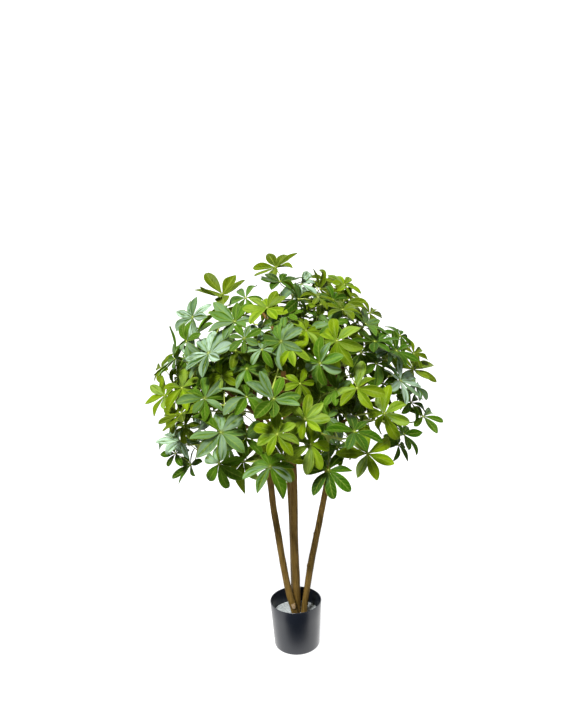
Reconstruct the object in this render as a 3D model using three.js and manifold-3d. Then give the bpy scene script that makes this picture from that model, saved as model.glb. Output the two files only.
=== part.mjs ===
// Potted schefflera: a round pot, its pale fill, four bent wooden trunks and a domed crown of
// leafy sprays. Millimetres, +Z up, origin at the middle of the pot's underside, front on -Y.

import * as THREE from 'three';
import { mergeVertices } from 'three/addons/utils/BufferGeometryUtils.js';
import Module from 'manifold-3d';

const wasm = await Module();
wasm.setup();

// Pot and fill
const POT = {
  topRadius: 70, baseRadius: 62, height: 130, wall: 2.2, floor: 3, edge: 6, edgeSteps: 3, segments: 36,
};
const LIP = { drop: 1.1, inset: 0.73 };
const FILL = { top: 88, mound: 1.5, moundRadius: 40, segments: 18 };
const GAP = 0.3;

// Wood: each trunk is a line of places with the radius there, and each limb grows from one
const TRUNK_SIDES = 7;
const LIMB_SIDES = 4;
const KNOT_SIDES = 5;
const TRUNK_FOOT = 14;
const SWELL = { share: 0.05, perStep: 2.4 };
const TRUNKS = {
  left: {
    line: [
      [-1, -12, TRUNK_FOOT], [-1, -12, 88], [-8, -13, 118], [-20, -15, 167], [-27, -18, 225],
      [-35, -21, 279], [-42, -26, 356], [-50, -30, 406], [-52, -32, 453], [-57, -36, 519],
      [-69, -48, 642], [-82, -60, 692], [-98, -73, 766], [-104, -82, 840],
    ],
    radii: [9, 7],
    limbs: [
      [[-66, -45, 615], [-104, -84, 650], [-140, -128, 690]],
      [[-78, -56, 676], [-132, -62, 718], [-186, -62, 770]],
      [[-92, -68, 742], [-120, -20, 800], [-150, 10, 850]],
    ],
    knots: [[[-8, -13, 119], [-6, -24, 122], 6.5]],
  },
  middle: {
    line: [
      [1, 10, TRUNK_FOOT], [1, 10, 88], [2, 9, 113], [2, 7, 213], [1, 4, 261], [2, 0, 344],
      [4, -3, 394], [5, -6, 459], [6, -8, 535], [2, -10, 640], [-1, -10, 775], [-3, -6, 853],
      [0, 0, 940],
    ],
    radii: [12.5, 7],
    limbs: [
      [[5, -8, 560], [12, -72, 610], [24, -142, 660]],
      [[2, -10, 650], [-22, -84, 720], [-52, -150, 800]],
      [[0, -10, 700], [46, -90, 760], [80, -150, 820]],
      [[-1, -10, 790], [52, 4, 850], [104, 20, 905]],
      [[-2, -8, 830], [-40, 34, 890], [-72, 76, 930]],
    ],
    knots: [],
  },
  right: {
    line: [
      [20, -2, TRUNK_FOOT], [20, -2, 88], [28, -1, 139], [41, 1, 213], [52, 3, 266], [68, 7, 336],
      [78, 11, 383], [89, 15, 430], [97, 20, 470], [103, 30, 634], [110, 34, 736], [116, 36, 820],
    ],
    radii: [8.5, 6.5],
    limbs: [
      [[102, 28, 606], [134, -36, 640], [164, -102, 676]],
      [[104, 31, 660], [160, 20, 700], [216, 4, 740]],
      [[108, 33, 712], [152, 84, 764], [186, 124, 816]],
    ],
    knots: [
      [[44, 2, 227], [36, -2, 229], 5],
      [[64, 6, 318], [56, 3, 320], 4.5],
    ],
  },
  back: {
    line: [
      [-7, 34, TRUNK_FOOT], [-6, 35, 88], [-4, 42, 286], [-6, 58, 441], [-11, 84, 587],
      [-14, 98, 700], [-12, 112, 800], [-6, 128, 880],
    ],
    radii: [6.5, 4.5],
    limbs: [
      [[-9, 76, 545], [-64, 124, 610], [-126, 166, 680]],
      [[-11, 84, 590], [42, 140, 650], [92, 190, 720]],
      [[-13, 94, 670], [-84, 120, 740], [-160, 132, 800]],
    ],
    knots: [],
  },
};
const LIMB_RADII = [4.6, 2.8];

// One compound leaf: leaflets round a hub. Shares and halves are parts of the leaflet's length
const LEAFLET = {
  waist: 0.42, waistHalf: 0.145, widest: 0.74, widestHalf: 0.19, ribAt: 0.54, fold: 0.045, rise: 0.16,
};
const RIB_HALF = 0.9;
const HUB = { notch: 6, above: 2, below: 2.6 };
const SPREAD = { aside: 11, kept: 31, shortest: 0.76, longest: 1.08, droop: 13 };

// Stalks and stems, with the steps along their curves
const STALK = { sides: 3, radius: 1.5, tip: 1.2, steps: [0, 0.45, 0.87], rooted: 0.12 };
const STEM = { sides: 4, radius: 2.3, tip: 1.5, steps: [0, 0.33, 0.64, 0.9], rooted: 0.18 };
const FORKS = [0.62, 0.46, 0.3, 0.2];
const SHORTEST_STALK = 42;
const CURVE = { lead: 0.35, lift: 0.08, approach: 0.3, bendKept: 0.4 };
const FIRST_ACROSS = [0.3, 1, 0.1];
const NEARLY_UP = [0.2, 0.1, 1];
const BEND_REACHES = [8, 16, 26, 38];
const BEND_TURNS = 8;

// Crown: the dome on which the hubs lie, wider than deep and flatter below than above
const DOME = { x: 310, y: 290, up: 275, down: 165, heart: 730 };
const OUTER_RULE = { count: 69, from: 0.86, to: 1.03, lowest: -0.92, apart: 80, shownHalf: 62 };
const INNER_RULE = { count: 16, from: 0.55, to: 0.72, lowest: -0.7, apart: 60, shownHalf: 0 };
const SHOWN_BAND = { below: 0.8, above: -0.75 };
const RULE_LEAF = {
  top: 0.97, swing: 22, lift: 32, liftByHeight: 0.45, lean: 12, turn: 50, length: [64, 76],
  leaflets: [5.6, 7.15], droop: [2, 24],
};
const GOLDEN_ANGLE = Math.PI * (3 - Math.sqrt(5));
const SPRAY = { leaves: 3, reach: 150, strayReach: 210 };
const SEAT = { lowest: 560, step: 12, apart: 13, shortest: 75, shortWeight: 3, below: 30, aboveWeight: 0.6 };

// What is tried so that leaves and stems clear each other, by the spare given to them
const CLEAR = 0.5;
const LEANS = [0, 7, -7, 14, -14, 22];
const SWINGS = [0, 9, -9, 18, -18];
const TURNS = [0, 7, -7, 14, -14, 21, -21];
const TURN_COST = 0.6;
const CLOSE_TRIES = 60;
const SEED = 20;
const DROOP_SEED = 5;
const DRAW = { step: 0x6d2b79f5, shifts: [15, 7, 14], odd: 61, range: 2 ** 32 };
const MERGE = 1e-4;

const wood = new THREE.MeshStandardMaterial({ color: 0x6b5630, roughness: 0.85, metalness: 0 });
const potPlastic = new THREE.MeshStandardMaterial({ color: 0x2b2e33, roughness: 0.55, metalness: 0 });
const paleFill = new THREE.MeshStandardMaterial({ color: 0xc4cccc, roughness: 0.95, metalness: 0 });
const leafGreen = new THREE.MeshStandardMaterial({ color: 0x4f8420, roughness: 0.45, metalness: 0 });

// Leaves that show from the front: place of the hub; the way the leaf faces (bearing to the right
// of the viewer, lift above level); turn about its stalk; leaflet length; leaflets; their droop
const SHOWN_LEAVES = [
  [-155, -20, 975, 5, 65, 20, 80, 7, -27],
  [-225, -60, 925, -40, 25, 5, 68, 8, 5],
  [-115, -170, 925, -20, 50, 40, 68, 8, -15],
  [-40, -180, 955, -10, 55, 25, 60, 8, -5],
  [-20, 0, 1035, -40, 60, 45, 68, 7, -10],
  [-10, -80, 1005, -5, 70, 10, 62, 8, -10],
  [40, -105, 1000, 10, 35, 35, 58, 7, 15],
  [30, -160, 970, 65, 35, 10, 60, 7, 5],
  [85, -80, 985, 60, 45, 40, 64, 8, -20],
  [140, -100, 950, 0, 65, 10, 60, 7, -10],
  [185, -140, 905, 60, 55, 5, 64, 7, -20],
  [200, -185, 870, 30, 60, 15, 60, 7, -5],
  [260, -120, 835, 20, 55, 20, 62, 7, -10],
  [315, -40, 772, 50, 50, 45, 72, 7, -10],
  [265, -145, 768, 60, 45, 40, 74, 8, -5],
  [110, -262, 888, -30, 20, 0, 68, 7, 22],
  [72, -272, 842, -40, 15, 25, 64, 8, 15],
  [150, -272, 784, -35, 40, 35, 64, 7, 5],
  [215, -235, 715, -30, 20, 5, 68, 7, 22],
  [332, -80, 660, 30, 60, 15, 62, 6, 10],
  [275, -130, 632, 60, 45, 20, 62, 7, -5],
  [175, -235, 622, 10, 30, 15, 76, 7, 6],
  [85, -250, 592, -15, 52, 25, 72, 8, 14],
  [140, -300, 695, 20, 65, 15, 66, 7, 5],
  [35, -305, 728, -20, 25, 40, 62, 8, 8],
  [-25, -332, 705, -20, 45, 40, 62, 7, 18],
  [-45, -270, 612, 0, 60, 30, 70, 8, 25],
  [-150, -272, 695, 30, 50, 0, 80, 8, 8],
  [-162, -230, 610, -25, 15, 20, 68, 7, 25],
  [-185, -240, 765, 25, 45, 10, 66, 8, 8],
  [-175, -202, 860, -30, 50, 30, 68, 8, -8],
  [-245, -170, 775, 5, 40, 0, 64, 6, 15],
  [-300, -100, 742, -55, 40, 20, 62, 7, -15],
  [-265, -120, 835, -75, 35, 0, 68, 7, -20],
  [-248, -188, 718, -40, 60, 50, 64, 7, -10],
  [-262, -140, 637, -10, 65, 5, 64, 7, 8],
  [-248, -98, 563, -55, 20, 25, 60, 7, -10],
  [-30, -312, 777, 20, 45, 35, 74, 7, -20],
  [-90, -272, 773, 40, 55, 20, 60, 7, 22],
  [-10, -252, 889, -35, 20, 5, 62, 8, 22],
  [45, -285, 665, 5, 35, 40, 62, 7, 25],
  [45, -215, 905, 30, 40, 10, 64, 7, 15],
  [-230, -150, 880, -35, 35, 40, 62, 7, 12],
  [-110, -195, 600, -20, 45, 12, 66, 7, 25],
];

// Seeded draws between two values, the same on every run
function makeDraw(seed) {
  let state = seed;
  return (low, high) => {
    state = (state + DRAW.step) | 0;
    let mixed = Math.imul(state ^ (state >>> DRAW.shifts[0]), 1 | state);
    mixed = (mixed + Math.imul(mixed ^ (mixed >>> DRAW.shifts[1]), DRAW.odd | mixed)) ^ mixed;
    const unit = ((mixed ^ (mixed >>> DRAW.shifts[2])) >>> 0) / DRAW.range;
    return low + (high - low) * unit;
  };
}

const draw = makeDraw(SEED);
const drawDroop = makeDraw(DROOP_SEED);
const radians = THREE.MathUtils.degToRad;
const degrees = THREE.MathUtils.radToDeg;
const { lerp } = THREE.MathUtils;
const vec = ([x, y, z]) => new THREE.Vector3(x, y, z);
const fullTurn = 2 * Math.PI;

// Rings of a tube through places, with a radius at each; the last ring may face its own way.
// The first end is closed by a flat cap, and the last ring is returned
function tubeRings(places, radii, sides, positions, indices, lastFacing = null) {
  let across = vec(FIRST_ACROSS);
  const start = positions.length / 3;
  places.forEach((place, step) => {
    const before = places[Math.max(step - 1, 0)];
    const after = places[Math.min(step + 1, places.length - 1)];
    const isLast = step === places.length - 1;
    const along = isLast && lastFacing ? lastFacing.clone() : after.clone().sub(before).normalize();
    across = across.clone().addScaledVector(along, -across.dot(along)).normalize();
    const other = along.clone().cross(across);
    for (let side = 0; side < sides; side += 1) {
      const angle = (fullTurn * side) / sides;
      const point = place.clone().addScaledVector(across, radii[step] * Math.cos(angle));
      point.addScaledVector(other, radii[step] * Math.sin(angle));
      positions.push(point.x, point.y, point.z);
    }
  });
  for (let step = 0; step < places.length - 1; step += 1) {
    for (let side = 0; side < sides; side += 1) {
      const a = start + step * sides + side;
      const b = start + step * sides + ((side + 1) % sides);
      indices.push(a, b, b + sides, a, b + sides, a + sides);
    }
  }
  for (let side = 1; side < sides - 1; side += 1) {
    indices.push(start, start + side + 1, start + side);
  }
  const last = start + (places.length - 1) * sides;
  return Array.from({ length: sides }, (_, side) => last + side);
}

function toGeometry(positions, indices) {
  const geometry = new THREE.BufferGeometry();
  geometry.setAttribute('position', new THREE.Float32BufferAttribute(positions, 3));
  geometry.setIndex(indices);
  return geometry;
}

// A closed tube, with a flat cap at both ends
function tube(places, radii, sides) {
  const positions = [];
  const indices = [];
  const last = tubeRings(places, radii, sides, positions, indices);
  for (let side = 1; side < sides - 1; side += 1) {
    indices.push(last[0], last[side], last[side + 1]);
  }
  return toGeometry(positions, indices);
}

function toSolid(geometry) {
  geometry.deleteAttribute('normal');
  geometry.deleteAttribute('uv');
  const merged = mergeVertices(geometry, MERGE);
  const vertProperties = new Float32Array(merged.attributes.position.array);
  const triVerts = new Uint32Array(merged.index.array);
  return new wasm.Manifold(new wasm.Mesh({ numProp: 3, vertProperties, triVerts }));
}

function toMesh(name, solid, material) {
  const { numProp, vertProperties, triVerts } = solid.getMesh();
  const positions = [];
  for (let at = 0; at < vertProperties.length; at += numProp) {
    positions.push(vertProperties[at], vertProperties[at + 1], vertProperties[at + 2]);
  }
  const geometry = toGeometry(positions, Array.from(triVerts));
  geometry.computeVertexNormals();
  const mesh = new THREE.Mesh(geometry, material);
  mesh.name = name;
  return mesh;
}

// A solid with the box round it, so that far pieces are passed over quickly
function boxed(geometry) {
  geometry.computeBoundingBox();
  return { solid: toSolid(geometry), box: geometry.boundingBox.clone() };
}

function crosses(one, other) {
  if (!one.box.intersectsBox(other.box)) {
    return false;
  }
  const shared = one.solid.intersect(other.solid);
  const found = shared.getMesh().triVerts.length > 0;
  shared.delete();
  return found;
}

const crossesAny = (one, others) => others.some((other) => crosses(one, other));

function wallRadius(z) {
  return lerp(POT.baseRadius, POT.topRadius, z / POT.height);
}

function makePot() {
  const { baseRadius, topRadius, height, wall, floor, edge, edgeSteps, segments } = POT;
  const profile = [[0, 0]];
  const flare = wallRadius(edge) - baseRadius;
  for (let step = 0; step <= edgeSteps; step += 1) {
    const angle = (step / edgeSteps) * (Math.PI / 2);
    profile.push([
      baseRadius - edge + (edge + flare) * Math.sin(angle),
      edge - edge * Math.cos(angle),
    ]);
  }
  profile.push([topRadius, height - LIP.drop]);
  profile.push([topRadius - LIP.inset, height]);
  profile.push([topRadius - wall + LIP.inset, height]);
  profile.push([topRadius - wall, height - LIP.drop]);
  profile.push([wallRadius(edge + floor) - wall, edge + floor]);
  profile.push([baseRadius - edge, floor]);
  profile.push([0, floor]);
  const lathe = new THREE.LatheGeometry(profile.map(([r, z]) => new THREE.Vector2(r, z)), segments);
  return lathe.rotateX(Math.PI / 2);
}

function makeFill() {
  const inner = (z) => wallRadius(z) - POT.wall - 2 * GAP;
  const profile = [
    [0, POT.floor + GAP],
    [POT.baseRadius - POT.edge - GAP, POT.floor + GAP],
    [inner(POT.edge + POT.floor), POT.edge + POT.floor + GAP],
    [inner(FILL.top), FILL.top - FILL.mound],
    [FILL.moundRadius, FILL.top],
    [0, FILL.top + FILL.mound],
  ];
  const points = profile.map(([r, z]) => new THREE.Vector2(r, z));
  return new THREE.LatheGeometry(points, FILL.segments).rotateX(Math.PI / 2);
}

// A trunk's places and radii, tapering from foot to top with a slight swell and waist
function trunkRings({ line, radii }, spare) {
  const foot = line[0][2];
  const top = line[line.length - 1][2];
  const places = line.map(vec);
  places[0].z -= spare;
  const sizes = line.map(([, , z], step) => {
    const share = (z - foot) / (top - foot);
    const swell = 1 + SWELL.share * Math.sin(SWELL.perStep * step);
    return lerp(radii[0], radii[1], share) * swell + spare;
  });
  return tube(places, sizes, TRUNK_SIDES);
}

// A trunk with its limbs and knots joined on, thicker by the spare where it only cuts others
function woodSolid(trunk, spare) {
  let solid = toSolid(trunkRings(trunk, spare));
  for (const limb of trunk.limbs) {
    const sizes = limb.map((place, step) => spare
      + lerp(LIMB_RADII[0], LIMB_RADII[1], step / (limb.length - 1)));
    solid = solid.add(toSolid(tube(limb.map(vec), sizes, LIMB_SIDES)));
  }
  for (const [root, face, radius] of trunk.knots) {
    solid = solid.add(toSolid(tube([vec(root), vec(face)], [radius + spare, radius + spare], KNOT_SIDES)));
  }
  return solid;
}

function boxOfSolid(solid) {
  const { numProp, vertProperties } = solid.getMesh();
  const box = new THREE.Box3();
  for (let at = 0; at < vertProperties.length; at += numProp) {
    box.expandByPoint(vec([vertProperties[at], vertProperties[at + 1], vertProperties[at + 2]]));
  }
  return box;
}

// Places on the wood from which a spray can grow
function woodSeats() {
  const seats = [];
  const lines = Object.values(TRUNKS).flatMap((trunk) => [trunk.line, ...trunk.limbs]);
  for (const line of lines) {
    const path = new THREE.CurvePath();
    line.slice(1).forEach((place, index) => path.add(new THREE.LineCurve3(vec(line[index]), vec(place))));
    const length = path.getLength();
    for (let along = SEAT.step; along < length - SEAT.step / 2; along += SEAT.step) {
      seats.push(path.getPointAt(along / length));
    }
  }
  return seats.filter((seat) => seat.z > SEAT.lowest);
}

// The way a leaf faces, with two directions across it: to its right and to its upper edge
function leafAxes({ bearing, lift }) {
  const turn = radians(bearing);
  const rise = radians(lift);
  return {
    face: new THREE.Vector3(
      Math.sin(turn) * Math.cos(rise), -Math.cos(turn) * Math.cos(rise), Math.sin(rise)),
    right: new THREE.Vector3(Math.cos(turn), Math.sin(turn), 0),
    upper: new THREE.Vector3(
      -Math.sin(turn) * Math.sin(rise), Math.cos(turn) * Math.sin(rise), Math.cos(rise)),
  };
}

// One leaf's blade: hub, notches, and for each leaflet its sides, rib and tip. It is closed but
// for the small loop round the underside of its hub
function bladeShell(leaf, spare) {
  const { face, right, upper } = leafAxes(leaf);
  const positions = [];
  const indices = [];
  const underLoop = [];
  const put = (angle, reach, height) => {
    const point = leaf.at.clone().addScaledVector(right, reach * Math.sin(angle));
    point.addScaledVector(upper, reach * Math.cos(angle)).addScaledVector(face, height);
    positions.push(point.x, point.y, point.z);
    return positions.length / 3 - 1;
  };
  const count = leaf.leaflets.length;
  const top = put(0, 0, HUB.above + spare);
  const notches = leaf.leaflets.map(({ angle }, index) => {
    const next = leaf.leaflets[(index + 1) % count];
    const gap = (next.angle - angle + fullTurn) % fullTurn;
    return put(angle + gap / 2, HUB.notch + spare, 0);
  });
  leaf.leaflets.forEach(({ angle, length, droop, missing }, index) => {
    const leftNotch = notches[(index + count - 1) % count];
    const rightNotch = notches[index];
    if (missing) {
      indices.push(top, rightNotch, leftNotch);
      underLoop.push(rightNotch);
      return;
    }
    const height = (share) => length * share
      * (LEAFLET.rise - (Math.tan(radians(droop)) + LEAFLET.rise) * share);
    const side = (share, half, way) => {
      const reach = length * share;
      const out = half * length + spare;
      return put(angle + way * Math.atan2(out, reach), Math.hypot(reach, out),
        height(share) + LEAFLET.fold * length);
    };
    const ribHeight = height(LEAFLET.ribAt);
    const ribTop = put(angle, length * LEAFLET.ribAt, ribHeight + RIB_HALF + spare);
    const ribUnder = put(angle, length * LEAFLET.ribAt, ribHeight - RIB_HALF - spare);
    const rim = [
      leftNotch,
      side(LEAFLET.waist, LEAFLET.waistHalf, -1),
      side(LEAFLET.widest, LEAFLET.widestHalf, -1),
      put(angle, length + spare, height(1)),
      side(LEAFLET.widest, LEAFLET.widestHalf, 1),
      side(LEAFLET.waist, LEAFLET.waistHalf, 1),
      rightNotch,
    ];
    indices.push(ribTop, leftNotch, top, ribTop, top, rightNotch);
    rim.slice(1).forEach((place, step) => {
      indices.push(ribTop, place, rim[step], ribUnder, rim[step], place);
    });
    underLoop.push(ribUnder, rightNotch);
  });
  return { positions, indices, underLoop };
}

// The blade alone, closed under its hub by one point, to test where it fits
function bladeGeometry(leaf, spare) {
  const { positions, indices, underLoop } = bladeShell(leaf, spare);
  const { face } = leafAxes(leaf);
  const under = positions.length / 3;
  const point = leaf.at.clone().addScaledVector(face, -HUB.below - spare);
  positions.push(point.x, point.y, point.z);
  underLoop.forEach((place, step) => {
    indices.push(under, place, underLoop[(step + 1) % underLoop.length]);
  });
  return toGeometry(positions, indices);
}

// The blade grown together with its stalk: each edge of the loop under the hub is joined to the
// side of the stalk's end that it faces
function leafGeometry(leaf, { curve, size }) {
  const { positions, indices, underLoop } = bladeShell(leaf, 0);
  const { face } = leafAxes(leaf);
  const places = size.steps.map((share) => curve.getPoint(share));
  places.push(leaf.at.clone().addScaledVector(face, -HUB.below));
  const radii = [...size.steps, 1].map((share) => lerp(size.radius, size.tip, share));
  const ring = tubeRings(places, radii, size.sides, positions, indices, face);
  const outward = (place) => vec(positions.slice(3 * place, 3 * place + 3)).sub(leaf.at)
    .projectOnPlane(face).normalize();
  const facing = underLoop.map((place, step) => {
    const middle = outward(place).add(outward(underLoop[(step + 1) % underLoop.length]));
    return ring.reduce((best, side) => (
      outward(side).dot(middle) > outward(best).dot(middle) ? side : best));
  });
  underLoop.forEach((place, step) => {
    const after = (step + 1) % underLoop.length;
    indices.push(facing[step], place, underLoop[after]);
    if (facing[after] !== facing[step]) {
      indices.push(facing[step], underLoop[after], facing[after]);
    }
  });
  return toGeometry(positions, indices);
}

// A leaf's record, with its leaflets spread round the hub
function makeLeaf(at, bearing, lift, turn, length, count, droop) {
  const leaflets = [];
  const even = 360 / count;
  const aside = Math.min(SPREAD.aside, (even - SPREAD.kept) / 2);
  for (let index = 0; index < count; index += 1) {
    leaflets.push({
      angle: radians(turn + even * index + draw(-aside, aside)),
      length: length * draw(SPREAD.shortest, SPREAD.longest),
      droop: droop + drawDroop(-SPREAD.droop, SPREAD.droop),
      missing: false,
    });
  }
  return { at, bearing, lift, leaflets };
}

function domePoint(share, around, reach) {
  const level = Math.sqrt(1 - share * share);
  const tall = share > 0 ? DOME.up : DOME.down;
  return new THREE.Vector3(
    DOME.x * level * reach * Math.sin(around),
    -DOME.y * level * reach * Math.cos(around),
    DOME.heart + tall * share * reach,
  );
}

// Leaves by rule: a golden-angle spiral over the dome, clear of the leaves already placed and of
// the side where each leaf is placed by hand
function addByRule(leaves, rule) {
  for (let index = 0; index < rule.count; index += 1) {
    const share = lerp(RULE_LEAF.top, rule.lowest, (index + 0.5) / rule.count);
    const at = domePoint(share, index * GOLDEN_ANGLE, draw(rule.from, rule.to));
    const outward = degrees(Math.atan2(at.x, -at.y));
    const lift = RULE_LEAF.lift + RULE_LEAF.liftByHeight * degrees(Math.asin(share));
    const leaf = makeLeaf(
      at,
      outward + draw(-RULE_LEAF.swing, RULE_LEAF.swing),
      lift + draw(-RULE_LEAF.lean, RULE_LEAF.lean),
      draw(0, RULE_LEAF.turn),
      draw(...RULE_LEAF.length),
      Math.round(draw(...RULE_LEAF.leaflets)),
      draw(...RULE_LEAF.droop),
    );
    const shown = Math.abs(outward) < rule.shownHalf
      && share < SHOWN_BAND.below && share > SHOWN_BAND.above;
    const crowded = leaves.some((other) => other.at.distanceTo(at) < rule.apart);
    if (!shown && !crowded) {
      leaves.push(leaf);
    }
  }
}

// Leaves that grow close together share one spray
function groupLeaves(leaves) {
  const groups = [];
  const taken = new Set();
  for (const leaf of leaves) {
    if (taken.has(leaf)) {
      continue;
    }
    const near = leaves.filter((other) => !taken.has(other) && other.at.distanceTo(leaf.at) < SPRAY.reach);
    near.sort((a, b) => a.at.distanceTo(leaf.at) - b.at.distanceTo(leaf.at));
    const group = near.slice(0, SPRAY.leaves);
    group.forEach((member) => taken.add(member));
    groups.push(group);
  }
  const strays = groups.filter((group) => group.length === 1);
  const sprays = groups.filter((group) => group.length > 1);
  for (const stray of strays) {
    const distance = (group) => group[0].at.distanceTo(stray[0].at);
    const host = sprays.filter((group) => group.length <= SPRAY.leaves)
      .sort((a, b) => distance(a) - distance(b))[0];
    if (host && distance(host) < SPRAY.strayReach) {
      host.push(stray[0]);
    } else {
      sprays.push(stray);
    }
  }
  return sprays;
}

function middleOf(group) {
  const sum = group.reduce((total, leaf) => total.add(leaf.at), new THREE.Vector3());
  return sum.divideScalar(group.length);
}

// The nearest free place on the wood, a stem's length away and rather below than above
function pickSeat(target, seats, usedSeats) {
  const cost = (seat) => {
    const distance = seat.distanceTo(target);
    const tooNear = Math.max(0, SEAT.shortest - distance);
    const tooHigh = Math.max(0, seat.z - target.z + SEAT.below);
    return distance + SEAT.shortWeight * tooNear + SEAT.aboveWeight * tooHigh;
  };
  const free = seats.filter((seat) => usedSeats.every((used) => used.distanceTo(seat) > SEAT.apart));
  return free.sort((a, b) => cost(a) - cost(b))[0];
}

// A stem's curve: it leaves along a rising line and meets the hub from behind the leaf
function stalkCurve(start, leaf, bend) {
  const { face } = leafAxes(leaf);
  const distance = start.distanceTo(leaf.at);
  const end = leaf.at.clone().addScaledVector(face, -HUB.below);
  const ahead = end.clone().sub(start).normalize();
  const first = start.clone().addScaledVector(ahead, CURVE.lead * distance).add(bend);
  first.z += CURVE.lift * distance;
  const second = end.clone().addScaledVector(face, -CURVE.approach * distance);
  return new THREE.CubicBezierCurve3(start, first, second.addScaledVector(bend, CURVE.bendKept), end);
}

function stalkBody(curve, shares, size) {
  const places = shares.map((share) => curve.getPoint(share));
  const radii = shares.map((share) => lerp(size.radius, size.tip, share) + CLEAR);
  return boxed(tube(places, radii, size.sides));
}

// Sideways bends to try, smallest first, so that a stem clears the others
function bendsFor(start, end) {
  const ahead = end.clone().sub(start).normalize();
  const aside = ahead.clone().cross(vec(NEARLY_UP)).normalize();
  const over = aside.clone().cross(ahead);
  const bends = [new THREE.Vector3()];
  for (const reach of BEND_REACHES) {
    for (let turn = 0; turn < BEND_TURNS; turn += 1) {
      const angle = (turn * fullTurn) / BEND_TURNS;
      const bend = aside.clone().multiplyScalar(reach * Math.cos(angle));
      bends.push(bend.addScaledVector(over, reach * Math.sin(angle)));
    }
  }
  return bends;
}

// A stalk bent until the length past its root is clear of the others and of its own hub. It keeps
// the body that others stay clear of, and the one without its last stretch, for its own leaf
function clearStalk(start, leaf, size, others, knobs) {
  const pastRoot = [size.rooted, ...size.steps.slice(1), 1];
  const rest = [...others, ...[...knobs].filter(([one]) => one !== leaf).map(([, knob]) => knob)];
  const isFree = (curve) => !crosses(stalkBody(curve, size.steps, size), knobs.get(leaf))
    && !crossesAny(stalkBody(curve, pastRoot, size), rest);
  const curves = bendsFor(start, leaf.at).map((bend) => stalkCurve(start, leaf, bend));
  const curve = curves.find(isFree);
  if (!curve) {
    return null;
  }
  return {
    leaf,
    size,
    curve,
    whole: stalkBody(curve, [...size.steps, 1], size),
    shaft: stalkBody(curve, size.steps, size),
  };
}

// The first fork from which a stalk reaches the leaf with room to spare
function stalkFromFork(forks, leaf, others, knobs) {
  for (const fork of forks.filter((place) => place.distanceTo(leaf.at) > SHORTEST_STALK)) {
    const stalk = clearStalk(fork, leaf, STALK, others, knobs);
    if (stalk) {
      return stalk;
    }
  }
  return null;
}

// A spray's main stem runs to its furthest leaf, and the others' stalks leave it on the way. A leaf
// that no stalk reaches is left out
function makeStems(group, seat, others, knobs) {
  const order = [...group].sort((a, b) => b.at.distanceTo(seat) - a.at.distanceTo(seat));
  const main = clearStalk(seat, order[0], STEM, others, knobs);
  const stalks = order.slice(1).map((leaf, index) => {
    const shares = [...FORKS.slice(index), ...FORKS.slice(0, index)];
    return stalkFromFork(shares.map((share) => main.curve.getPoint(share)), leaf, others, knobs);
  });
  return [main, ...stalks.filter(Boolean)];
}

// Small turns and leans to try, smallest first, so that a leaf clears its neighbours
function leafTries() {
  const tries = LEANS.flatMap((lean) => SWINGS.flatMap((swing) => (
    TURNS.map((turn) => ({ lean, swing, turn })))));
  const cost = ({ lean, swing, turn }) => Math.abs(lean) + Math.abs(swing) + TURN_COST * Math.abs(turn);
  return tries.sort((a, b) => cost(a) - cost(b));
}

function turned(leaf, { lean, swing, turn }) {
  return {
    ...leaf,
    bearing: leaf.bearing + swing,
    lift: leaf.lift + lean,
    leaflets: leaf.leaflets.map((leaflet) => ({ ...leaflet, angle: leaflet.angle + radians(turn) })),
  };
}

function withOnly(leaf, kept) {
  return { ...leaf, leaflets: leaf.leaflets.map((one, index) => ({ ...one, missing: !kept.has(index) })) };
}

function isClear(leaf, others) {
  const body = boxed(bladeGeometry(leaf, CLEAR));
  const clear = !crossesAny(body, others);
  body.solid.delete();
  return clear;
}

// The leaf turned until it is clear; where no turn is, the leaflets that still cross are left off
function clearLeaf(leaf, others, tries) {
  const candidates = tries.map((attempt) => turned(leaf, attempt));
  const found = candidates.find((candidate) => isClear(candidate, others));
  if (found) {
    return found;
  }
  const kept = candidates.slice(0, CLOSE_TRIES).map((candidate) => {
    const clear = candidate.leaflets.map((_, index) => index)
      .filter((index) => isClear(withOnly(candidate, new Set([index])), others));
    return withOnly(candidate, new Set(clear));
  });
  const bare = (candidate) => candidate.leaflets.filter((leaflet) => leaflet.missing).length;
  return kept.sort((a, b) => bare(a) - bare(b))[0];
}

function allLeaves() {
  const leaves = SHOWN_LEAVES.map(([x, y, z, bearing, lift, turn, length, count, droop]) => (
    makeLeaf(vec([x, y, z]), bearing, lift, turn, length, count, droop)));
  addByRule(leaves, OUTER_RULE);
  addByRule(leaves, INNER_RULE);
  return leaves;
}

// The stems of every spray, each grown from its own place on the wood, clear of those before it
// and of every hub but its own
function growSprays(leaves, cutters) {
  const seats = woodSeats();
  const usedSeats = [];
  const obstacles = [...cutters];
  const knobs = new Map(leaves.map((leaf) => [leaf, boxed(bladeGeometry(withOnly(leaf, new Set()), CLEAR))]));
  return groupLeaves(leaves).map((group) => {
    const seat = pickSeat(middleOf(group), seats, usedSeats);
    usedSeats.push(seat);
    const stalks = makeStems(group, seat, obstacles, knobs);
    stalks.forEach((stalk) => obstacles.push(stalk.whole));
    return stalks;
  });
}

// Every leaf, turned clear of the wood, of all stems but its own and of the blades before it
function openLeaves(sprays, leaves, cutters) {
  const stalks = sprays.flat();
  const tries = leafTries();
  const blades = [];
  const inOrder = leaves.map((leaf) => stalks.find((stalk) => stalk.leaf === leaf)).filter(Boolean);
  for (const own of inOrder) {
    const { leaf } = own;
    const rest = stalks.filter((stalk) => stalk !== own).map((stalk) => stalk.whole);
    own.opened = clearLeaf(leaf, [...cutters, ...rest, own.shaft, ...blades], tries);
    blades.push(boxed(bladeGeometry(own.opened, 0)));
  }
}

function joinSpray(stalks, cutters) {
  let solid = toSolid(leafGeometry(stalks[0].opened, stalks[0]));
  for (const stalk of stalks.slice(1)) {
    solid = solid.add(toSolid(leafGeometry(stalk.opened, stalk)));
  }
  for (const cutter of cutters) {
    solid = solid.subtract(cutter.solid);
  }
  return solid;
}

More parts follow.
